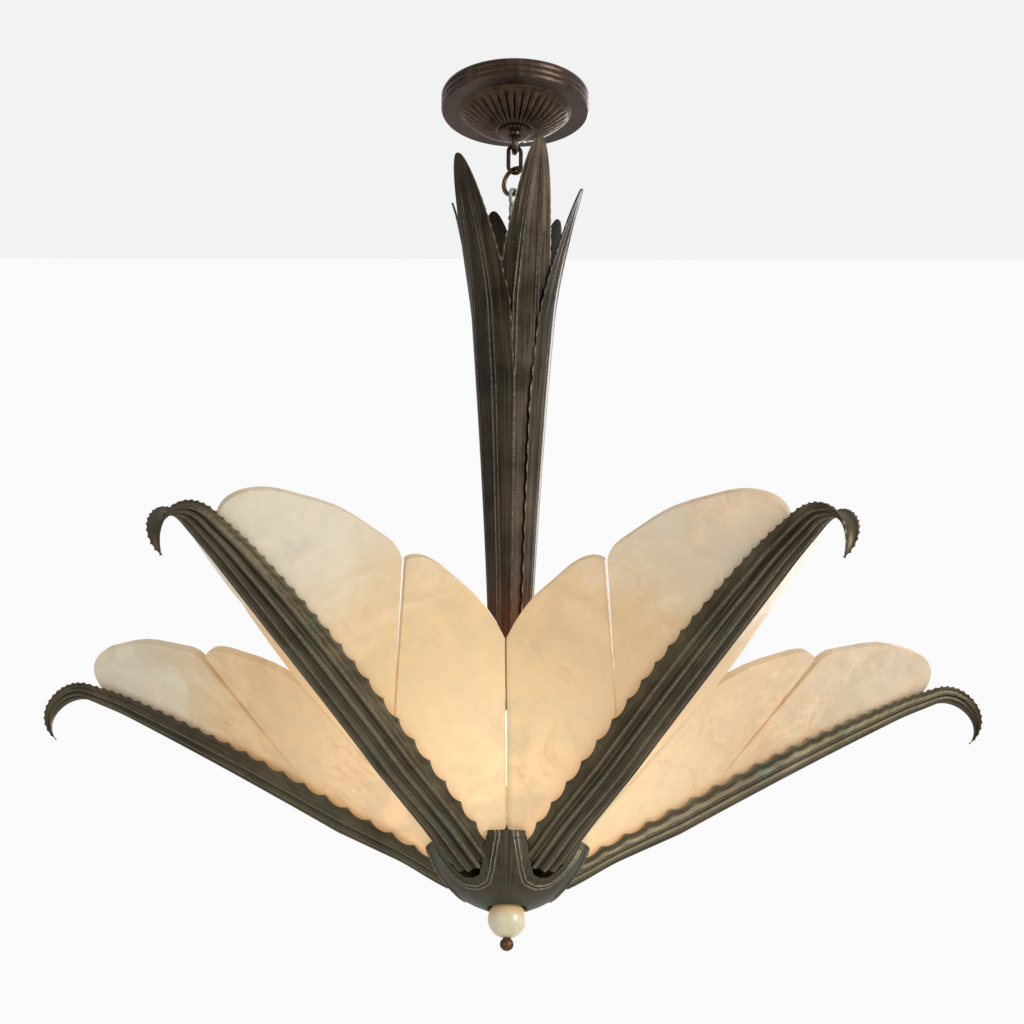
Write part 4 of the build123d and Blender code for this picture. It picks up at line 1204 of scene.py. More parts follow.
# ---------------------------------------------------------------- suspension
@dataclass
class Suspension:
    """Link, ring and the hanger on top of the stem."""

    link_top: float = -56.3
    link_half_width: float = 6.25
    link_pitch: float = 28.5
    link_wire: float = 2.0
    link_yaw: float = 20.0
    ring_centre: float = -93.75
    ring_radius: float = 13.4
    ring_wire: float = 2.15
    ring_yaw: float = 140.0
    hanger_top: float = -102.9
    hanger_half_width: float = 5.5
    hanger_length: float = 17.0
    hanger_wire: float = 1.8
    boss_top: float = -151.0
    boss_radius: float = 10.0
    boss_bottom: float = -174.0
    pale_bottom: float = -131.0

    def wire(
        self, name: str, half_width: float, leg: float, radius: float, yaw: float, level: float
    ) -> bpy.types.Mesh:
        """Upright wire ring with its middle on the axis at a level."""
        mesh = wire_ring_tree().result(
            name,
            {
                "Half Width": half_width * MM,
                "Leg": leg * MM,
                "Wire Radius": radius * MM,
                "Material": CHAIN_BRONZE.material(),
            },
        )
        stand_up(mesh, yaw, level)
        return mesh

    def hanger(self) -> bpy.types.Object:
        """Eye, flattened strap and bored boss as one piece."""
        leg = self.hanger_length - 2 * self.hanger_half_width
        middle = self.hanger_top - self.hanger_length / 2
        yaw = self.ring_yaw - 90.0
        eye = self.wire("eye", self.hanger_half_width, leg, self.hanger_wire, yaw, middle)
        eye_bottom = self.hanger_top - self.hanger_length
        knots = (
            (4.8, eye_bottom + 1.6),
            (5.2, eye_bottom - 3.0),
            (4.6, eye_bottom - 9.0),
            (5.8, eye_bottom - 13.0),
            (4.6, eye_bottom - 17.0),
            (5.4, self.boss_top + 4.0),
            (6.4, self.boss_top + 1.5),
            (self.boss_radius - 1.2, self.boss_top),
            (self.boss_radius, self.boss_top - 1.2),
            (self.boss_radius, self.boss_bottom + 1.0),
            (self.boss_radius - 1.0, self.boss_bottom),
            (6.6, self.boss_bottom),
            (6.6, self.boss_top - 9.0),
            (0.4, self.boss_top - 9.0),
            (0.4, eye_bottom + 1.6),
        )
        points = lathe(np.array(knots), 48)
        strap = smoothstep(self.boss_top + 1.0, self.boss_top + 12.0, points[:, :, 2])
        points[:, :, 1] *= 1.0 - 0.62 * strap
        surface = Surface.grid(turn_about_axis(points, 8.0))
        # Darker below the pale strap, through the low end of the same mark.
        surface.tone_wear_sheen_shade = -smoothstep(self.pale_bottom, self.pale_bottom - 3.0, surface.points[:, 2])
        return merge_meshes(make_object("hanger_strap", surface), [eye])

    def build(self) -> None:
        """Make and dress the suspension."""
        leg = self.link_pitch - 2 * self.link_half_width
        middle = self.link_top - self.link_pitch / 2
        oval = (self.link_half_width, leg, self.link_wire, self.link_yaw, middle)
        circle = (self.ring_radius, 0.0, self.ring_wire, self.ring_yaw, self.ring_centre)
        pieces = (
            ("oval_link", oval, Body.LINK, CANOPY_BRONZE, "chain_link"),
            ("round_ring", circle, Body.RING, CHAIN_BRONZE, "suspension_ring"),
        )
        for name, sizes, body, finish, node in pieces:
            piece = link_mesh(name, self.wire(name, *sizes))
            settle(piece, body, finish, [node])
        settle(self.hanger(), Body.PENDANT, VERDIGRIS, ["stem_hanger"])


# ---------------------------------------------------------------- stem
@dataclass(frozen=True)
class StemLeafPlace:
    """Where one leaf of the stem stands.

    Attributes:
        azimuth: Direction in degrees from +X.
        tip: Height of its tip above the hub datum.
        half_width: Widest half width, measured round the stem.
        layer: 0 outside, 1 behind its neighbours.
    """

    azimuth: float
    tip: float
    half_width: float
    layer: int


@dataclass
class Stem:
    """Six long serrated leaves that close up into the stem."""

    leaves: tuple[StemLeafPlace, ...] = (
        StemLeafPlace(-140.0, 709.0, 33.0, 0),
        StemLeafPlace(-69.0, 717.0, 30.0, 1),
        StemLeafPlace(-4.0, 692.0, 32.0, 0),
        StemLeafPlace(47.0, 684.0, 30.0, 1),
        StemLeafPlace(108.0, 703.0, 30.0, 0),
        StemLeafPlace(171.0, 684.0, 30.0, 1),
    )
    bottom: float = 200.0
    bottom_radius: float = 19.0
    climb: Triple = (400.0, 24.0, 1.35)
    flare_start: float = 560.0
    flare: Triple = (140.0, 17.0, 1.6)
    thickness: float = 2.4
    layer_gap: float = 0.3
    shoulder: float = 150.0
    taper_power: float = 0.5
    most_half_angle: float = 55.5
    tooth_pitch: float = 19.0
    tooth_depth: float = 1.2
    ridge_shares: tuple[float, ...] = (0.30, 0.43, 0.70)
    ridge_heights: tuple[float, ...] = (1.0, 0.85, 0.45)
    rows: int = 300
    columns: int = 64

    def radius(self, height: Array) -> Array:
        """Outer radius of the leaf cluster at a height above the hub datum.

        Args:
            height: Heights; the climb and the flare each have a length, a gain and a power.

        Returns:
            One radius per height.
        """
        length, gain, power = self.climb
        radius = self.bottom_radius + gain * ((height - self.bottom) / length) ** power
        length, gain, power = self.flare
        return radius + gain * np.clip((height - self.flare_start) / length, 0.0, None) ** power

    def leaf(self, place: StemLeafPlace, number: int) -> Surface:
        """One leaf with its ridges and saw-toothed edges."""
        rise = place.tip - self.bottom
        levels = self.bottom + rise * (1.0 - (1.0 - np.linspace(0, 1, self.rows)) ** 1.25)
        across = np.linspace(-1.0, 1.0, self.columns)
        drop = place.layer * (self.thickness + self.layer_gap)
        radius = self.radius(levels) - drop
        below = place.tip - levels
        half = place.half_width * np.minimum(1.0, below / self.shoulder) ** self.taper_power
        half_angle = np.minimum(np.maximum(half / radius, 0.012), math.radians(self.most_half_angle))
        crowding = 1.0 + 1.3 * smoothstep(190.0, 20.0, below)
        phase = np.cumsum(np.gradient(levels) * crowding) / self.tooth_pitch + 0.31 * number
        tooth = np.abs(np.sin(math.pi * phase))
        cut = self.tooth_depth * (1.0 - tooth) / radius * smoothstep(0.0, 110.0, below)
        share = across[None, :]
        edge = smoothstep(0.86, 1.0, np.abs(share))
        angle = half_angle[:, None] * share - np.sign(share) * cut[:, None] * edge
        relief, tone_wear_sheen_shade = self.relief(share, below)
        outside = radius[:, None] - 1.0 + relief
        inside = np.broadcast_to(radius[:, None] - self.thickness, outside.shape)
        walls = [
            hang(turn_about_axis(round_axis(wall, angle, levels[:, None]), place.azimuth))
            for wall in (outside, inside)
        ]
        grain = np.stack(np.broadcast_arrays(share * half[:, None], levels[:, None]), axis=2)
        # Painted highlight along the serrated rims, strongest at the cusps.
        rim_line = smoothstep(0.93, 0.985, np.abs(share))
        painted_edge_highlight = rim_line * (0.40 + 0.55 * tooth[:, None] ** 4)
        return Surface.shell(*walls, grain, np.maximum(tone_wear_sheen_shade, painted_edge_highlight))

    def relief(self, share: Array, below: Array) -> tuple[Array, Array]:
        """Height of the leaf's ridges over its blade, and the finish's mark: ridge tops lighter, partly
        wear and partly painted highlight, and painted shade down the middle of the blade.
        """
        fade = smoothstep(2.0, 60.0, below)[:, None]
        relief = np.zeros((len(below), share.shape[1]))
        tone_wear_sheen_shade = np.zeros_like(relief)
        for position, height in zip(self.ridge_shares, self.ridge_heights):
            distance = np.abs(np.abs(share) - position)
            ridge = np.clip(1.0 - distance / 0.07, 0.0, 1.0) ** 1.4
            relief = relief + height * ridge * fade
            tone_wear_sheen_shade = np.maximum(tone_wear_sheen_shade, 0.85 * height * np.clip(1.0 - distance / 0.028, 0.0, 1.0))
        hollow = 0.5 * np.cos(math.pi * np.clip(share / 0.28, -1, 1) / 2) ** 2 * fade
        roll = 0.4 * smoothstep(0.93, 1.0, np.abs(share))
        # A narrow band down the middle of the blade, darkened as painted shade.
        trough = np.clip(np.cos(math.pi * share / 0.13), 0.0, 1.0) ** 4 * fade
        return np.minimum(relief - hollow + roll, 1.0), tone_wear_sheen_shade * fade - 0.35 * trough * (tone_wear_sheen_shade < 0.05)

    def build(self) -> None:
        """Make and dress the stem's leaves."""
        for number, place in enumerate(self.leaves, start=1):
            blade = self.leaf(place, number)
            piece = make_object(f"stem_blade_{number}", blade, CRISP_LEAF_ANGLE)
            settle(piece, Body.PENDANT, STEM_BRONZE, [f"stem_leaf_{number}"])


# ---------------------------------------------------------------- arms
@dataclass
class Arms:
    """Five curling channel arms, ridged outside and saw-toothed along both rims."""

    root_radius: float = 46.0
    root_rise: float = 33.4
    slope: float = 31.3
    straight: float = 164.0
    bow_radius: float = 2146.0
    bow_length: float = 251.6
    curl_radius: float = 39.7
    curl_turn: float = 79.3
    tip_radius: float = 27.1
    tip_turn: float = 90.5
    half_width: float = 24.7
    taper_start: float = 224.0
    depth: float = 22.5
    root_depth: float = 14.0
    swell_length: float = 120.0
    depth_taper_start: float = 180.0
    wall: float = 3.0
    fullness: float = 0.72
    width_power: float = 2.27
    depth_power: float = 1.75
    ridges: tuple[float, ...] = (0.21, 0.35, 0.50, 0.65, 0.79)
    flute_depth: float = 0.16
    tip_size: float = 1.2
    steps_per_tooth: int = 8
    steps_per_band: int = 10
    root_fill: float = 4.0
    curl_inset: float = 2.8
    first_tooth: float = 12.5
    tooth_pitch: float = 25.0
    least_pitch: float = 6.5
    pitch_start: float = 150.0
    pitch_loss: float = 0.066
    tooth_depth: float = 0.15

    @property
    def length(self) -> float:
        """Length of the arm along its rim."""
        curl = self.curl_radius * math.radians(self.curl_turn)
        tip = self.tip_radius * math.radians(self.tip_turn)
        return self.straight + self.bow_length + curl + tip

    def rim(self, station: float) -> tuple[float, float, float]:
        """Distance from the axis, height and slope in radians of the rim at a station."""
        out, up, slope = self.root_radius, self.root_rise, math.radians(self.slope)
        runs = (
            (None, self.straight),
            (self.bow_radius, self.bow_length),
            (self.curl_radius, self.curl_radius * math.radians(self.curl_turn)),
            (self.tip_radius, self.tip_radius * math.radians(self.tip_turn)),
        )
        left = station
        for radius, run in runs:
            step = min(left, run)
            if radius is None:
                out += step * math.cos(slope)
                up += step * math.sin(slope)
            else:
                turned = slope - step / radius
                out += radius * (math.sin(slope) - math.sin(turned))
                up += radius * (math.cos(turned) - math.cos(slope))
                slope = turned
            left -= step
            if left <= 0:
                break
        return out, up, slope

    def half_width_at(self, station: Array) -> Array:
        """Half width across the rims."""
        share = np.clip((station - self.taper_start) / (self.length - self.taper_start), 0, 1)
        width = self.half_width * (1 - share**self.width_power) ** self.fullness
        return np.maximum(self.tip_size, width)

    def depth_at(self, station: Array) -> Array:
        """Depth of the channel below its rims."""
        grow = np.minimum(1.0, station / self.swell_length)
        swell = self.root_depth + (self.depth - self.root_depth) * grow
        start = self.depth_taper_start
        share = np.clip((station - start) / (self.length - start), 0, 1)
        swell = swell + self.root_fill * smoothstep(60.0, 0.0, station)
        return np.maximum(self.tip_size, swell * (1 - share**self.depth_power) ** self.fullness)

    def teeth(self) -> list[float]:
        """Stations of the cusps, closing up towards the tip."""
        stations = [self.first_tooth]
        while stations[-1] < self.length - self.least_pitch:
            past = max(0.0, stations[-1] - self.pitch_start)
            pitch = self.tooth_pitch - self.pitch_loss * past
            stations.append(stations[-1] + max(self.least_pitch, pitch))
        return [station for station in stations if station <= self.length]

    def stations_and_dips(self) -> tuple[Array, Array, Array]:
        """Stations of the mesh, how deep the rim is scalloped there, and how near a cusp is."""
        cusps = [0.0, *self.teeth()]
        stations, dips, cusp_shares = [], [], []
        for near, far in zip(cusps[:-1], cusps[1:]):
            share = np.arange(self.steps_per_tooth) / self.steps_per_tooth
            scallop = 4 * share * (1 - share) if near > 0.0 else np.zeros(len(share))
            stations.append(near + (far - near) * share)
            dips.append(self.tooth_depth * (far - near) * scallop)
            cusp_shares.append(np.abs(2 * share - 1) ** 5)
        stations.append(np.array([cusps[-1], self.length]))
        dips.append(np.zeros(2))
        cusp_shares.append(np.ones(2))
        return tuple(np.concatenate(rows) for rows in (stations, dips, cusp_shares))

    def surface(self) -> Surface:
        """One arm along +X, above the hub datum."""
        stations, dips, cusps = self.stations_and_dips()
        half, depth = self.half_width_at(stations), self.depth_at(stations)
        wall = np.minimum(self.wall, 0.35 * np.minimum(half, depth))
        bounds = np.array((0.0, *self.ridges, 1.0))
        count = (len(bounds) - 1) * self.steps_per_band
        share = np.interp(
            np.arange(count + 1), np.arange(len(bounds)) * self.steps_per_band, bounds
        )[None, :]
        start = np.arcsin(np.clip(dips / depth, 0.0, 0.75))[:, None] / math.pi
        band = self.ridges[0]
        lower = start + (band - start) * share / band
        upper = 1.0 - (start + (band - start) * (1.0 - share) / band)
        edge_band = (share < band) | (share > 1 - band)
        run = np.where(share < band, lower, np.where(share > 1 - band, upper, share))
        angle = math.pi * run
        within = np.arange(count + 1) % self.steps_per_band / self.steps_per_band
        place = np.abs(2 * within - 1)[None, :]
        hollow = 0.5 + 0.5 * np.cos(math.pi * place)
        fade = smoothstep(self.length, self.length - 70.0, stations)[:, None]
        sink = np.where(edge_band, 0.45, 1.0) * self.flute_depth * hollow * fade
        # Mark for the finish: ridge tops lighter, partly wear and partly painted highlight; flute
        # hollows darker, painted shade.
        ridge = np.where(edge_band & (place < 0.85), 0.0, 0.8 * place**5)
        inside = (share > 0.01) & (share < 0.99)
        tone_wear_sheen_shade = (ridge - np.where(edge_band, 0.12, 0.8) * hollow**3) * fade * inside
        rim_zone = smoothstep(0.05, 0.0, share) + smoothstep(0.95, 1.0, share)
        # Painted highlight on the cusps along both rims.
        tone_wear_sheen_shade = tone_wear_sheen_shade + 0.5 * rim_zone * cusps[:, None]
        scale = 1.0 - sink
        flare = 0.7 * rim_zone * cusps[:, None] * smoothstep(0.0, 60.0, stations)[:, None]
        across_out = scale * half[:, None] * np.cos(angle) + np.sign(np.cos(angle)) * flare
        inset = self.curl_inset * smoothstep(370.0, 430.0, stations)[:, None]
        down_out = scale * depth[:, None] * np.sin(angle) + inset
        across_in = (half - wall)[:, None] * np.cos(angle)
        down_in = (depth - wall)[:, None] * np.sin(angle) + inset
        rim_in = (dips * (1.0 - wall / depth))[:, None] + inset
        down_in = np.maximum(down_in, np.minimum(rim_in, down_in + 1.0))
        outer = self.sections(stations, across_out, down_out)
        inner = self.sections(stations, across_in, down_in)
        grain = np.stack(np.broadcast_arrays(angle * half[:, None] * 0.8, stations[:, None]), axis=2)
        return Surface.shell(outer, inner, grain, np.clip(tone_wear_sheen_shade, -1.0, 1.0))

    def sections(self, stations: Array, across: Array, down: Array) -> Array:
        """Grid of points from sections square to the rim."""
        rim = np.array([self.rim(float(station)) for station in stations])
        out, up, slope = rim[:, 0:1], rim[:, 1:2], rim[:, 2:3]
        return np.stack((out + down * np.sin(slope), across, up - down * np.cos(slope)), axis=2)

    def build(self) -> None:
        """Make and dress the five arms."""
        shape = self.surface()
        for index in range(LAYOUT.arm_count):
            number = index + 1
            points = hang(turn_about_axis(shape.points, LAYOUT.arm_angle(index)))
            turned = Surface(points, shape.faces, shape.grain, shape.tone_wear_sheen_shade)
            piece = make_object(f"leaf_arm_{number}", turned, CRISP_LEAF_ANGLE)
            settle(piece, Body.PENDANT, ARM_BRONZE, [f"arm_{number}"])


# ---------------------------------------------------------------- panels
@dataclass
class Panels:
    """Twenty flat alabaster panels with softened edges."""

    softness: float = 1.1
    segments: int = 4
    roundness: float = 0.6
    flat_angle: float = 4.0
    sharp_angle: float = 35.0
    crisp_angle: float = 25.0
    doubles_apart: float = 2e-5
    broad_face: float = 0.002

    def softened(self, node: str, name: str) -> bpy.types.Object:
        """Copy of a slab with its triangles merged and its edges rounded."""
        mesh = bpy.data.objects[node].data.copy()
        work = bmesh.new()
        work.from_mesh(mesh)
        bmesh.ops.remove_doubles(work, verts=work.verts, dist=self.doubles_apart)
        bmesh.ops.dissolve_limit(
            work,
            angle_limit=math.radians(self.flat_angle),
            verts=work.verts,
            edges=work.edges,
        )
        limit = math.radians(self.sharp_angle)
        sharp = [edge for edge in work.edges if edge.calc_face_angle(0.0) > limit]
        rounded = bmesh.ops.bevel(
            work,
            geom=sharp,
            offset=self.softness * MM,
            segments=self.segments,
            profile=self.roundness,
            affect="EDGES",
            clamp_overlap=True,
        )
        rim = work.verts.layers.float.new("rim")
        for vert in {vert for face in rounded["faces"] for vert in face.verts}:
            vert[rim] = 1.0
        for face in work.faces:
            if face.calc_area() > self.broad_face:
                for vert in face.verts:
                    vert[rim] = 0.0
        bmesh.ops.triangulate(work, faces=work.faces)
        bmesh.ops.recalc_face_normals(work, faces=work.faces)
        work.to_mesh(mesh)
        work.free()
        mesh.name = name
        mesh.shade_smooth()
        sharpen(mesh, self.crisp_angle)
        return place_in_scene(name, mesh)

    def build(self) -> None:
        """Make and dress the panels."""
        for index in range(LAYOUT.arm_count):
            for row in ("inner", "outer"):
                for side in ("left", "right"):
                    ending = f"{row}_{side}_{index + 1}"
                    piece = self.softened(f"panel_{ending}", f"alabaster_{ending}")
                    settle(piece, Body.PENDANT, STONE, [f"panel_{ending}"])


# ---------------------------------------------------------------- hub
@dataclass
class Hub:
    """Five-lobed casting with notches for the arms and ridges that flow round them."""

    lobe_radius: float = 72.0
    lobe_top: float = 48.0
    wall: float = 3.6
    bore: float = 6.55
    roof: float = 4.1
    mouth: float = 17.0
    lip: tuple[float, float] = (21.0, -4.0)
    belly: tuple[tuple[float, float], ...] = ((33.4, 1.5), (45.5, 9.5), (58.5, 22.0), (67.0, 35.0))
    floor: float = 9.5
    floor_radius: float = 30.0
    notch: tuple[tuple[float, float], ...] = (
        (0.0, 13.0),
        (8.0, 14.6),
        (15.0, 21.5),
        (22.0, 33.0),
        (27.5, 46.0),
        (31.0, 60.0),
    )
    ridge_offsets: tuple[float, ...] = (7.4, 10.6)
    ridge_height: float = 1.2
    ridge_width: float = 0.9
    lip_band: float = 6.0
    downward_scale: float = 0.72
    tooth_pitch: float = 6.5
    tooth_depth: float = 1.5
    columns: int = 900
    rows_out: int = 54
    rows_in: int = 12

    def outside(self) -> Array:
        """Line of the casting's outside from the lip to the lobes' top."""
        knots = (self.lip, *self.belly, (self.lobe_radius, self.lobe_top))
        return smooth_line(knots, 12)

    def top_level(self, angle: Array, tooth_depth: float) -> Array:
        """Height at which the wall ends, round the casting.

        Args:
            angle: Directions in radians.
            tooth_depth: How far the teeth on the notch edges stand out.

        Returns:
            One height per direction.
        """
        step = 2 * math.pi / LAYOUT.arm_count
        start = math.radians(LAYOUT.first_arm_angle)
        local = np.mod(angle - start + step / 2, step) - step / 2
        levels = np.full(angle.shape, self.lobe_top)
        notch = np.array(self.notch)
        line = self.outside()
        for _ in range(24):
            radius = np.interp(levels, line[:, 1], line[:, 0])
            zone = smoothstep(17.0, 24.0, levels) * smoothstep(self.lobe_top, 45.0, levels)
            teeth = np.abs(np.sin(math.pi * levels / self.tooth_pitch)) - 0.6
            aside = np.abs(radius * np.sin(local)) + tooth_depth * teeth * zone
            target = np.interp(aside, notch[:, 0], notch[:, 1])
            levels = 0.6 * levels + 0.4 * np.minimum(self.lobe_top, target)
        return levels

    def notch_distance(self, points: Array, angle: Array, edge: Array) -> Array:
        """Distance of each outside point from the nearest notch edge, in millimetres."""
        line = self.outside()
        radius = np.interp(edge, line[:, 1], line[:, 0])
        rim = np.column_stack((radius * np.cos(angle), radius * np.sin(angle), edge))
        inside = edge < self.lobe_top - 0.6
        rim = rim[inside]
        result = np.empty(points.shape[:2])
        for row in range(points.shape[0]):
            offsets = points[row][:, None, :] - rim[None, ::2, :]
            offsets[..., 2] *= self.downward_scale
            result[row] = np.sqrt((offsets**2).sum(axis=2).min(axis=1))
        return result

    def surface(self) -> Surface:
        """The whole casting, above the hub datum."""
        angle = 2 * math.pi * np.arange(self.columns) / self.columns
        edge = self.top_level(angle, self.tooth_depth)
        even_edge = self.top_level(angle, 0.0)
        line = self.outside()
        lip_level = self.lip[1]
        shares = np.linspace(0.0, 1.0, self.rows_out) ** 0.85
        levels = lip_level + (edge - lip_level)[None, :] * shares[:, None]
        radius = np.interp(levels, line[:, 1], line[:, 0])
        outer = round_axis(radius, angle[None, :], levels)
        distance = self.notch_distance(outer, angle, even_edge)
        normal = self.normals(levels, line)
        swell = np.zeros_like(levels)
        tone_wear_sheen_shade = np.zeros_like(levels)
        reach = smoothstep(lip_level, 3.0, levels)
        for offset in self.ridge_offsets:
            near = np.abs(distance - offset) / self.ridge_width
            swell += self.ridge_height * np.exp(-(near**2)) * reach
            # Ridge tops lighter: partly wear, partly painted highlight.
            tone_wear_sheen_shade = np.maximum(tone_wear_sheen_shade, np.exp(-((near * 1.6) ** 2)) * reach)
        middle = 0.5 * sum(self.ridge_offsets)
        # Painted shade in the groove between each pair of ridges.
        tone_wear_sheen_shade = tone_wear_sheen_shade - 0.9 * np.exp(-(((distance - middle) / 0.7) ** 2)) * reach
        band_bottom = self.lobe_top - self.lip_band
        lobe = smoothstep(band_bottom - 0.6, band_bottom + 0.6, levels)
        on_lobe = smoothstep(self.lobe_top - 2.0, self.lobe_top, np.broadcast_to(edge, levels.shape))
        swell = swell * (1 - 0.4 * lobe) + 0.8 * lobe * on_lobe - 0.9
        # Notch edges lighter: partly wear, partly painted highlight.
        tone_wear_sheen_shade = np.maximum(tone_wear_sheen_shade, 0.5 * (1 - smoothstep(0.0, 0.9, distance)))
        radius, levels = radius + swell * normal[0], levels + swell * normal[1]
        outer = round_axis(radius, angle[None, :], levels)
        closing = self.inside_rows(edge, line, angle)
        mouth = self.mouth_rows()
        points = np.vstack((mouth, outer, closing))
        grain = np.zeros((*points.shape[:2], 2))
        grain[..., 0] = angle[None, :] * 50.0
        grain[..., 1] = points[..., 2]
        wear_sheen_shade_marks = np.zeros(points.shape[:2])
        wear_sheen_shade_marks[len(mouth) : len(mouth) + len(outer)] = tone_wear_sheen_shade
        # The inside of the casting is darkened as painted shade.
        wear_sheen_shade_marks[len(mouth) + len(outer) + 1 :] = -0.9
        surface = Surface.grid(points)
        surface.grain, surface.tone_wear_sheen_shade = grain.reshape(-1, 2), wear_sheen_shade_marks.ravel()
        return surface

    def normals(self, levels: Array, line: Array) -> tuple[Array, Array]:
        """Outward direction across the wall at each level, as radius and height."""
        slope = np.gradient(line[:, 0]) / np.gradient(line[:, 1])
        rate = np.interp(levels, line[:, 1], slope)
        length = np.sqrt(1.0 + rate**2)
        return 1.0 / length, -rate / length

    def inside_rows(self, edge: Array, line: Array, angle: Array) -> Array:
        """Rows from the wall's edge down its inside to the floor and in to the bore."""
        shares = np.linspace(0.0, 1.0, self.rows_in)[:, None]
        inner_floor = self.floor + 0.4
        levels = edge[None, :] + (np.minimum(inner_floor, edge - 1.0) - edge)[None, :] * shares
        radius = np.interp(levels, line[:, 1], line[:, 0]) - self.wall * 1.15
        floor = np.array(((self.floor_radius, self.floor), (self.bore, self.floor)))
        return np.vstack((round_axis(radius, angle[None, :], levels), lathe(floor, self.columns)))

    def mouth_rows(self) -> Array:
        """Rows from the bore out across the roof of the mouth and down to the lip."""
        profile = (
            (self.bore, self.roof),
            (self.mouth - 1.2, self.roof),
            (self.mouth - 0.4, self.lip[1] + 3.0),
            (self.mouth + 0.6, self.lip[1] + 0.9),
            (self.mouth + 1.8, self.lip[1] + 0.15),
        )
        return lathe(np.array(profile), self.columns)

    def build(self) -> None:
        """Make and dress the casting."""
        surface = self.surface()
        surface.points = hang(surface.points)
        piece = make_object("lobed_casting", surface, 45.0)
        settle(piece, Body.PENDANT, HUB_BRONZE, ["hub_bowl"])


# ---------------------------------------------------------------- lamps
@dataclass
class Lamps:
    """Five frosted candle bulbs in their holders."""

    radius: float = 17.0
    height: float = 72.0
    neck: float = 9.0
    cap_radius: float = 7.0
    cap_length: float = 24.0
    seat_gap: float = 0.3

    def glass(self) -> Array:
        """Closed outline of the glass with its cap."""
        base = LAYOUT.holder_top + self.seat_gap
        knots = (
            (self.neck, base),
            (self.radius, base + 0.38 * self.height),
            (0.6 * self.radius, base + 0.83 * self.height),
            (1.6, base + self.height - 0.6),
        )
        flank = smooth_line(knots, 10)
        cap = np.array(
            (
                (0.2, base + self.height),
                (0.2, base - self.cap_length),
                (2.5, base - self.cap_length),
                (self.cap_radius - 0.7, base - self.cap_length + 3.0),
                (self.cap_radius - 0.7, base - 0.5),
            )
        )
        return np.vstack((flank, cap))

    def build(self) -> None:
        """Make and dress the bulbs, each with a thread on its cap."""
        thread = thread_tree().result(
            "cap_thread",
            {
                "Turns": 5.0,
                "Radius": (self.cap_radius - 0.55) * MM,
                "Height": 15.0 * MM,
                "Wire Radius": 0.5 * MM,
                "Material": STEEL.material(),
            },
        )
        base = LAYOUT.holder_top + self.seat_gap - self.cap_length + 5.0
        for index in range(LAYOUT.arm_count):
            number = index + 1
            angle = math.radians(LAYOUT.arm_angle(index + 0.5))
            centre = LAYOUT.lamp_circle * np.array((math.cos(angle), math.sin(angle), 0.0))
            shape = Surface.grid(lathe(self.glass(), 40) + centre)
            shape.points = hang(shape.points)
            piece = make_object(f"candle_bulb_{number}", shape)
            wound = thread.copy()
            lift = Vector((*(centre[:2] * MM), (base - LAYOUT.hub_drop) * MM))
            wound.transform(Matrix.Translation(lift))
            merge_meshes(piece, [wound])
            settle(piece, f"bulb_{number}", BULB_GLASS, [f"bulb_{number}"])


# ---------------------------------------------------------------- finial
@dataclass
class Finial:
    """Alabaster ball and the small bronze nut under it."""

    ball_radius: float = 16.7
    ball_centre: float = -12.6
    ball_top: float = 0.2
    foot_radius: float = 4.0
    rod_clearance: float = 2.6
    nut_radius: float = 6.0
    seat_gap: float = 0.3

    def ball(self) -> Surface:
        """Ball with a flat top and foot, bored for the rod."""
        reach = math.degrees(math.asin((self.ball_top - self.ball_centre) / self.ball_radius))
        low = -math.degrees(math.acos(self.foot_radius / self.ball_radius))
        flank = arc((0.0, self.ball_centre), self.ball_radius, reach, low, 40)
        bore = np.array(((self.rod_clearance, flank[-1, 1]), (self.rod_clearance, self.ball_top)))
        return Surface.grid(lathe(np.vstack((flank, bore)), 96))

    def nut(self) -> Surface:
        """Round nut with a fine bead under its seat."""
        foot = self.ball_centre - math.sqrt(self.ball_radius**2 - self.foot_radius**2)
        top = foot - self.seat_gap
        centre = top - 0.9 * self.nut_radius
        start = math.degrees(math.asin(0.9))
        flank = arc((0.0, centre), self.nut_radius, start, -89.0, 26)
        groove = 0.35 * np.exp(-(((flank[:, 1] - top + 1.4) / 0.5) ** 2))
        flank[:, 0] -= groove
        return Surface.grid(lathe(np.vstack(((0.1, top), flank, (0.1, flank[-1, 1]))), 64))

    def build(self) -> None:
        """Make and dress the finial."""
        parts = (
            ("alabaster_ball", self.ball(), Body.BALL, Slot.BALL, BALL_STONE, "finial_ball"),
            ("ball_nut", self.nut(), Body.NUT, Slot.CANOPY_BRONZE, CHAIN_BRONZE, "finial_nut"),
        )
        for name, surface, body, slot, finish, node in parts:
            surface.points = hang(surface.points)
            settle(make_object(name, surface), body, finish, [node])


# ---------------------------------------------------------------- carried-over pieces
@dataclass
class InnerFittings:
    """Pieces that keep their made shape and only get a finish."""

    steel: tuple[str, ...] = (
        "crossbar",
        "crossbar_nut",
        "canopy_nipple",
        "hub_nut",
        "lamp_spacer",
        "lamp_plate",
        "finial_rod",
        "finial_plug",
    )
    bronze: tuple[str, ...] = ("stem_tube", "stem_foot", "stem_spacer", "hub_spider", "arm_screws")
    porcelain: tuple[str, ...] = ("lampholders",)

    def build(self, nodes: dict[str, bpy.types.Object]) -> None:
        """Dress the pieces.

        Args:
            nodes: The frame's objects by name.
        """
        groups = ((self.steel, STEEL), (self.bronze, INNER_BRONZE), (self.porcelain, PORCELAIN))
        for names, finish in groups:
            for name in names:
                dress_node(nodes[name], finish)
                LOG.info("%s keeps its shape, finished as %s", name, finish.name)


def dress_node(node: bpy.types.Object, finish: Finish) -> None:
    """Assign a finish to every material slot of a CAD node."""
    if not node.material_slots:
        node.data.materials.append(finish.material())
    for slot in node.material_slots:
        slot.material = finish.material()


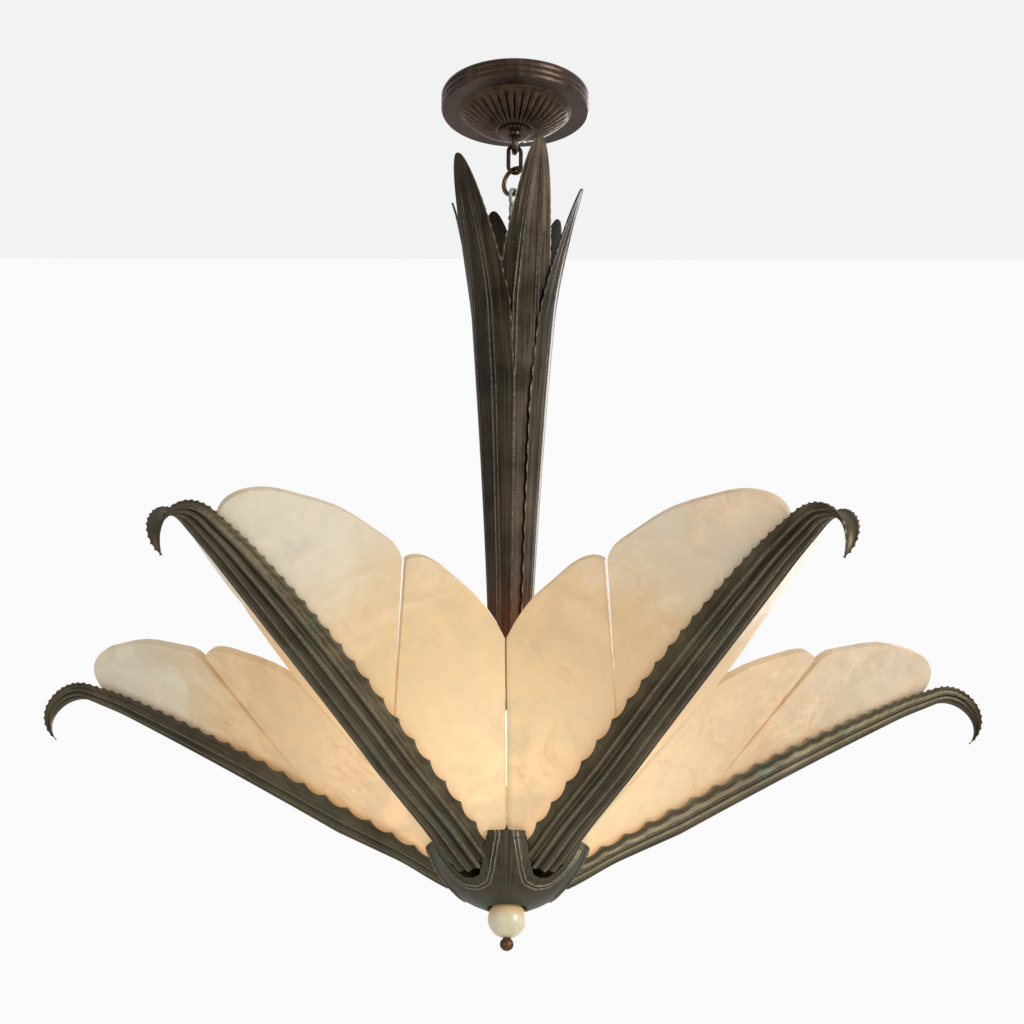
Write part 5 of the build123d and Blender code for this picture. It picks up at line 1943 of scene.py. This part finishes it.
# ---------------------------------------------------------------- studio
@dataclass
class Studio:
    """Camera, soft light, pale floor and backdrop colours."""

    distance: float = 2.4605
    level: float = -1.3784
    azimuth: float = 1.04
    aside: float = 0.0008
    pitch: float = 21.05
    roll: float = 0.57
    lens: float = 101.7
    sensor: float = 36.0
    clip: Levels = (0.05, 60.0)
    ceiling_line: float = 26.05
    wall_colour: Colour = (0.960, 0.960, 0.960)
    ceiling_colour: Colour = (0.890, 0.890, 0.890)
    floor_level: float = -2.3
    floor_size: float = 14.0
    floor_colour: Colour = (0.60, 0.60, 0.59)
    floor_roughness: float = 0.9
    floor_glow: float = 0.36
    sky_strength: float = 0.55
    room_reflections: Levels = (0.52, 1.15)
    target_level: float = -0.5
    lamps: tuple[tuple[str, Triple, float, float], ...] = (
        ("key", (2.7, -2.1, -0.7), 76.0, 1.4),
        ("fill", (-2.6, -2.4, -1.4), 12.0, 1.8),
        ("back", (1.2, 2.6, 0.5), 26.0, 1.6),
    )
    bulb_power: float = 0.22
    bulb_size: float = 0.012
    bulb_outward: float = 24.0
    bulb_rise: float = 84.0
    bulb_colour: Colour = (1.0, 0.62, 0.30)

    def camera(self) -> None:
        """Camera below and in front of the light, looking up at it."""
        yaw, pitch, roll = (math.radians(v) for v in (self.azimuth, self.pitch, self.roll))
        right = Vector((math.cos(yaw), math.sin(yaw), 0.0))
        ahead = Vector((-math.sin(yaw), math.cos(yaw), 0.0)) * math.cos(pitch)
        ahead += Vector((0.0, 0.0, math.sin(pitch)))
        upward = right.cross(ahead)
        turned_right = right * math.cos(roll) + upward * math.sin(roll)
        turned_up = upward * math.cos(roll) - right * math.sin(roll)
        place = Vector((math.sin(yaw), -math.cos(yaw), 0.0)) * self.distance
        place += right * self.aside + Vector((0.0, 0.0, self.level))
        matrix = Matrix((turned_right, turned_up, -ahead)).transposed().to_4x4()
        data = bpy.data.cameras.new("camera")
        data.lens, data.sensor_width = self.lens, self.sensor
        data.clip_start, data.clip_end = self.clip
        camera = place_in_scene("camera", data)
        camera.matrix_world = Matrix.Translation(place) @ matrix
        bpy.context.scene.camera = camera

    def lights(self, pendant: bpy.types.Object) -> None:
        """Soft area lamps, and a warm lamp in each bulb that swings with the pendant."""
        target = Vector((0.0, 0.0, self.target_level))
        for name, place, power, size in self.lamps:
            data = bpy.data.lights.new(name, "AREA")
            data.energy, data.size = power, size
            lamp = place_in_scene(name, data)
            lamp.location = place
            lamp.rotation_euler = (target - Vector(place)).to_track_quat("-Z", "Y").to_euler()
        reach = (LAYOUT.lamp_circle + self.bulb_outward) * MM
        level = (LAYOUT.holder_top + self.bulb_rise - LAYOUT.hub_drop) * MM
        for index in range(LAYOUT.arm_count):
            angle = math.radians(LAYOUT.arm_angle(index + 0.5))
            data = bpy.data.lights.new(f"bulb_light_{index + 1}", "POINT")
            data.energy, data.color = self.bulb_power, self.bulb_colour
            data.shadow_soft_size = self.bulb_size
            lamp = place_in_scene(data.name, data)
            lamp.location = (reach * math.cos(angle), reach * math.sin(angle), level)
            lamp.parent = pendant

    def sky(self) -> None:
        """White surroundings; the camera sees a pale wall with a greyer ceiling over it."""
        world = bpy.data.worlds.new("surroundings")
        world.use_nodes = True
        bpy.context.scene.world = world
        graph = NodeGraph(world.node_tree)
        plain = graph.tree.nodes["Background"]
        graph.feed(plain.inputs["Color"], (1.0, 1.0, 1.0, 1.0))
        graph.feed(plain.inputs["Strength"], self.sky_strength)
        direction = graph.add("ShaderNodeTexCoord", {}).outputs["Generated"]
        across, along, up = graph.parts(direction)
        wall = graph.math("MAXIMUM", graph.math("ABSOLUTE", across), graph.math("ABSOLUTE", along))
        edge = graph.math("MULTIPLY", wall, math.tan(math.radians(self.ceiling_line)))
        above = graph.math("GREATER_THAN", up, edge)
        colour = graph.mix(above, self.wall_colour, self.ceiling_colour)
        seen = graph.add("ShaderNodeBackground", {"Color": colour})
        darkest, brightest = self.room_reflections
        aside = graph.add(
            "ShaderNodeMapRange", {0: across, 1: -1.0, 2: 1.0, 3: darkest, 4: brightest}
        )
        mirrored = graph.add(
            "ShaderNodeBackground",
            {"Color": (*self.wall_colour, 1.0), "Strength": aside.outputs[0]},
        )
        path = graph.add("ShaderNodeLightPath", {})
        shown = plain.outputs[0]
        for ray, background in (("Is Glossy Ray", mirrored), ("Is Camera Ray", seen)):
            choice = {0: path.outputs[ray], 1: shown, 2: background.outputs[0]}
            shown = graph.add("ShaderNodeMixShader", choice).outputs[0]
        graph.feed(graph.tree.nodes["World Output"].inputs["Surface"], shown)

    def floor(self) -> None:
        """Pale floor far below, open to a camera under it."""
        half = self.floor_size / 2
        mesh = bpy.data.meshes.new("floor")
        corners = [(-half, -half), (half, -half), (half, half), (-half, half)]
        mesh.from_pydata([(x, y, self.floor_level) for x, y in corners], [], [(0, 1, 2, 3)])
        floor = place_in_scene("floor", mesh)
        material = bpy.data.materials.new("pale_floor")
        material.use_nodes = True
        graph = NodeGraph(material.node_tree)
        matt = graph.tree.nodes["Principled BSDF"]
        looks = {
            "Base Color": (*self.floor_colour, 1.0),
            "Roughness": self.floor_roughness,
            "Emission Color": (1.0, 1.0, 1.0, 1.0),
            "Emission Strength": self.floor_glow,
        }
        for name, setting in looks.items():
            graph.feed(matt.inputs[name], setting)
        clear = graph.add("ShaderNodeBsdfTransparent", {})
        side = graph.add("ShaderNodeNewGeometry", {})
        choice = {0: side.outputs["Backfacing"], 1: matt.outputs[0], 2: clear.outputs[0]}
        blend = graph.add("ShaderNodeMixShader", choice)
        graph.feed(graph.tree.nodes["Material Output"].inputs["Surface"], blend.outputs[0])
        mesh.materials.append(material)

    def build(self, pendant: bpy.types.Object) -> None:
        """Set up the studio.

        Args:
            pendant: The frame's object that carries the swinging body.
        """
        bpy.context.scene.view_settings.view_transform = "Standard"
        self.camera()
        self.lights(pendant)
        self.sky()
        self.floor()


def main() -> None:
    """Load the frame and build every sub-assembly in order."""
    logging.basicConfig(level=logging.INFO, format="%(message)s")
    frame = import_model()
    Studio().build(frame["bodies"]["pendant"])
    InnerFittings().build(frame["nodes"])
    for assembly in (CeilingFitting(), Suspension(), Stem(), Arms(), Panels(), Hub(), Lamps(), Finial()):
        assembly.build()


if __name__ == "__main__":
    main()
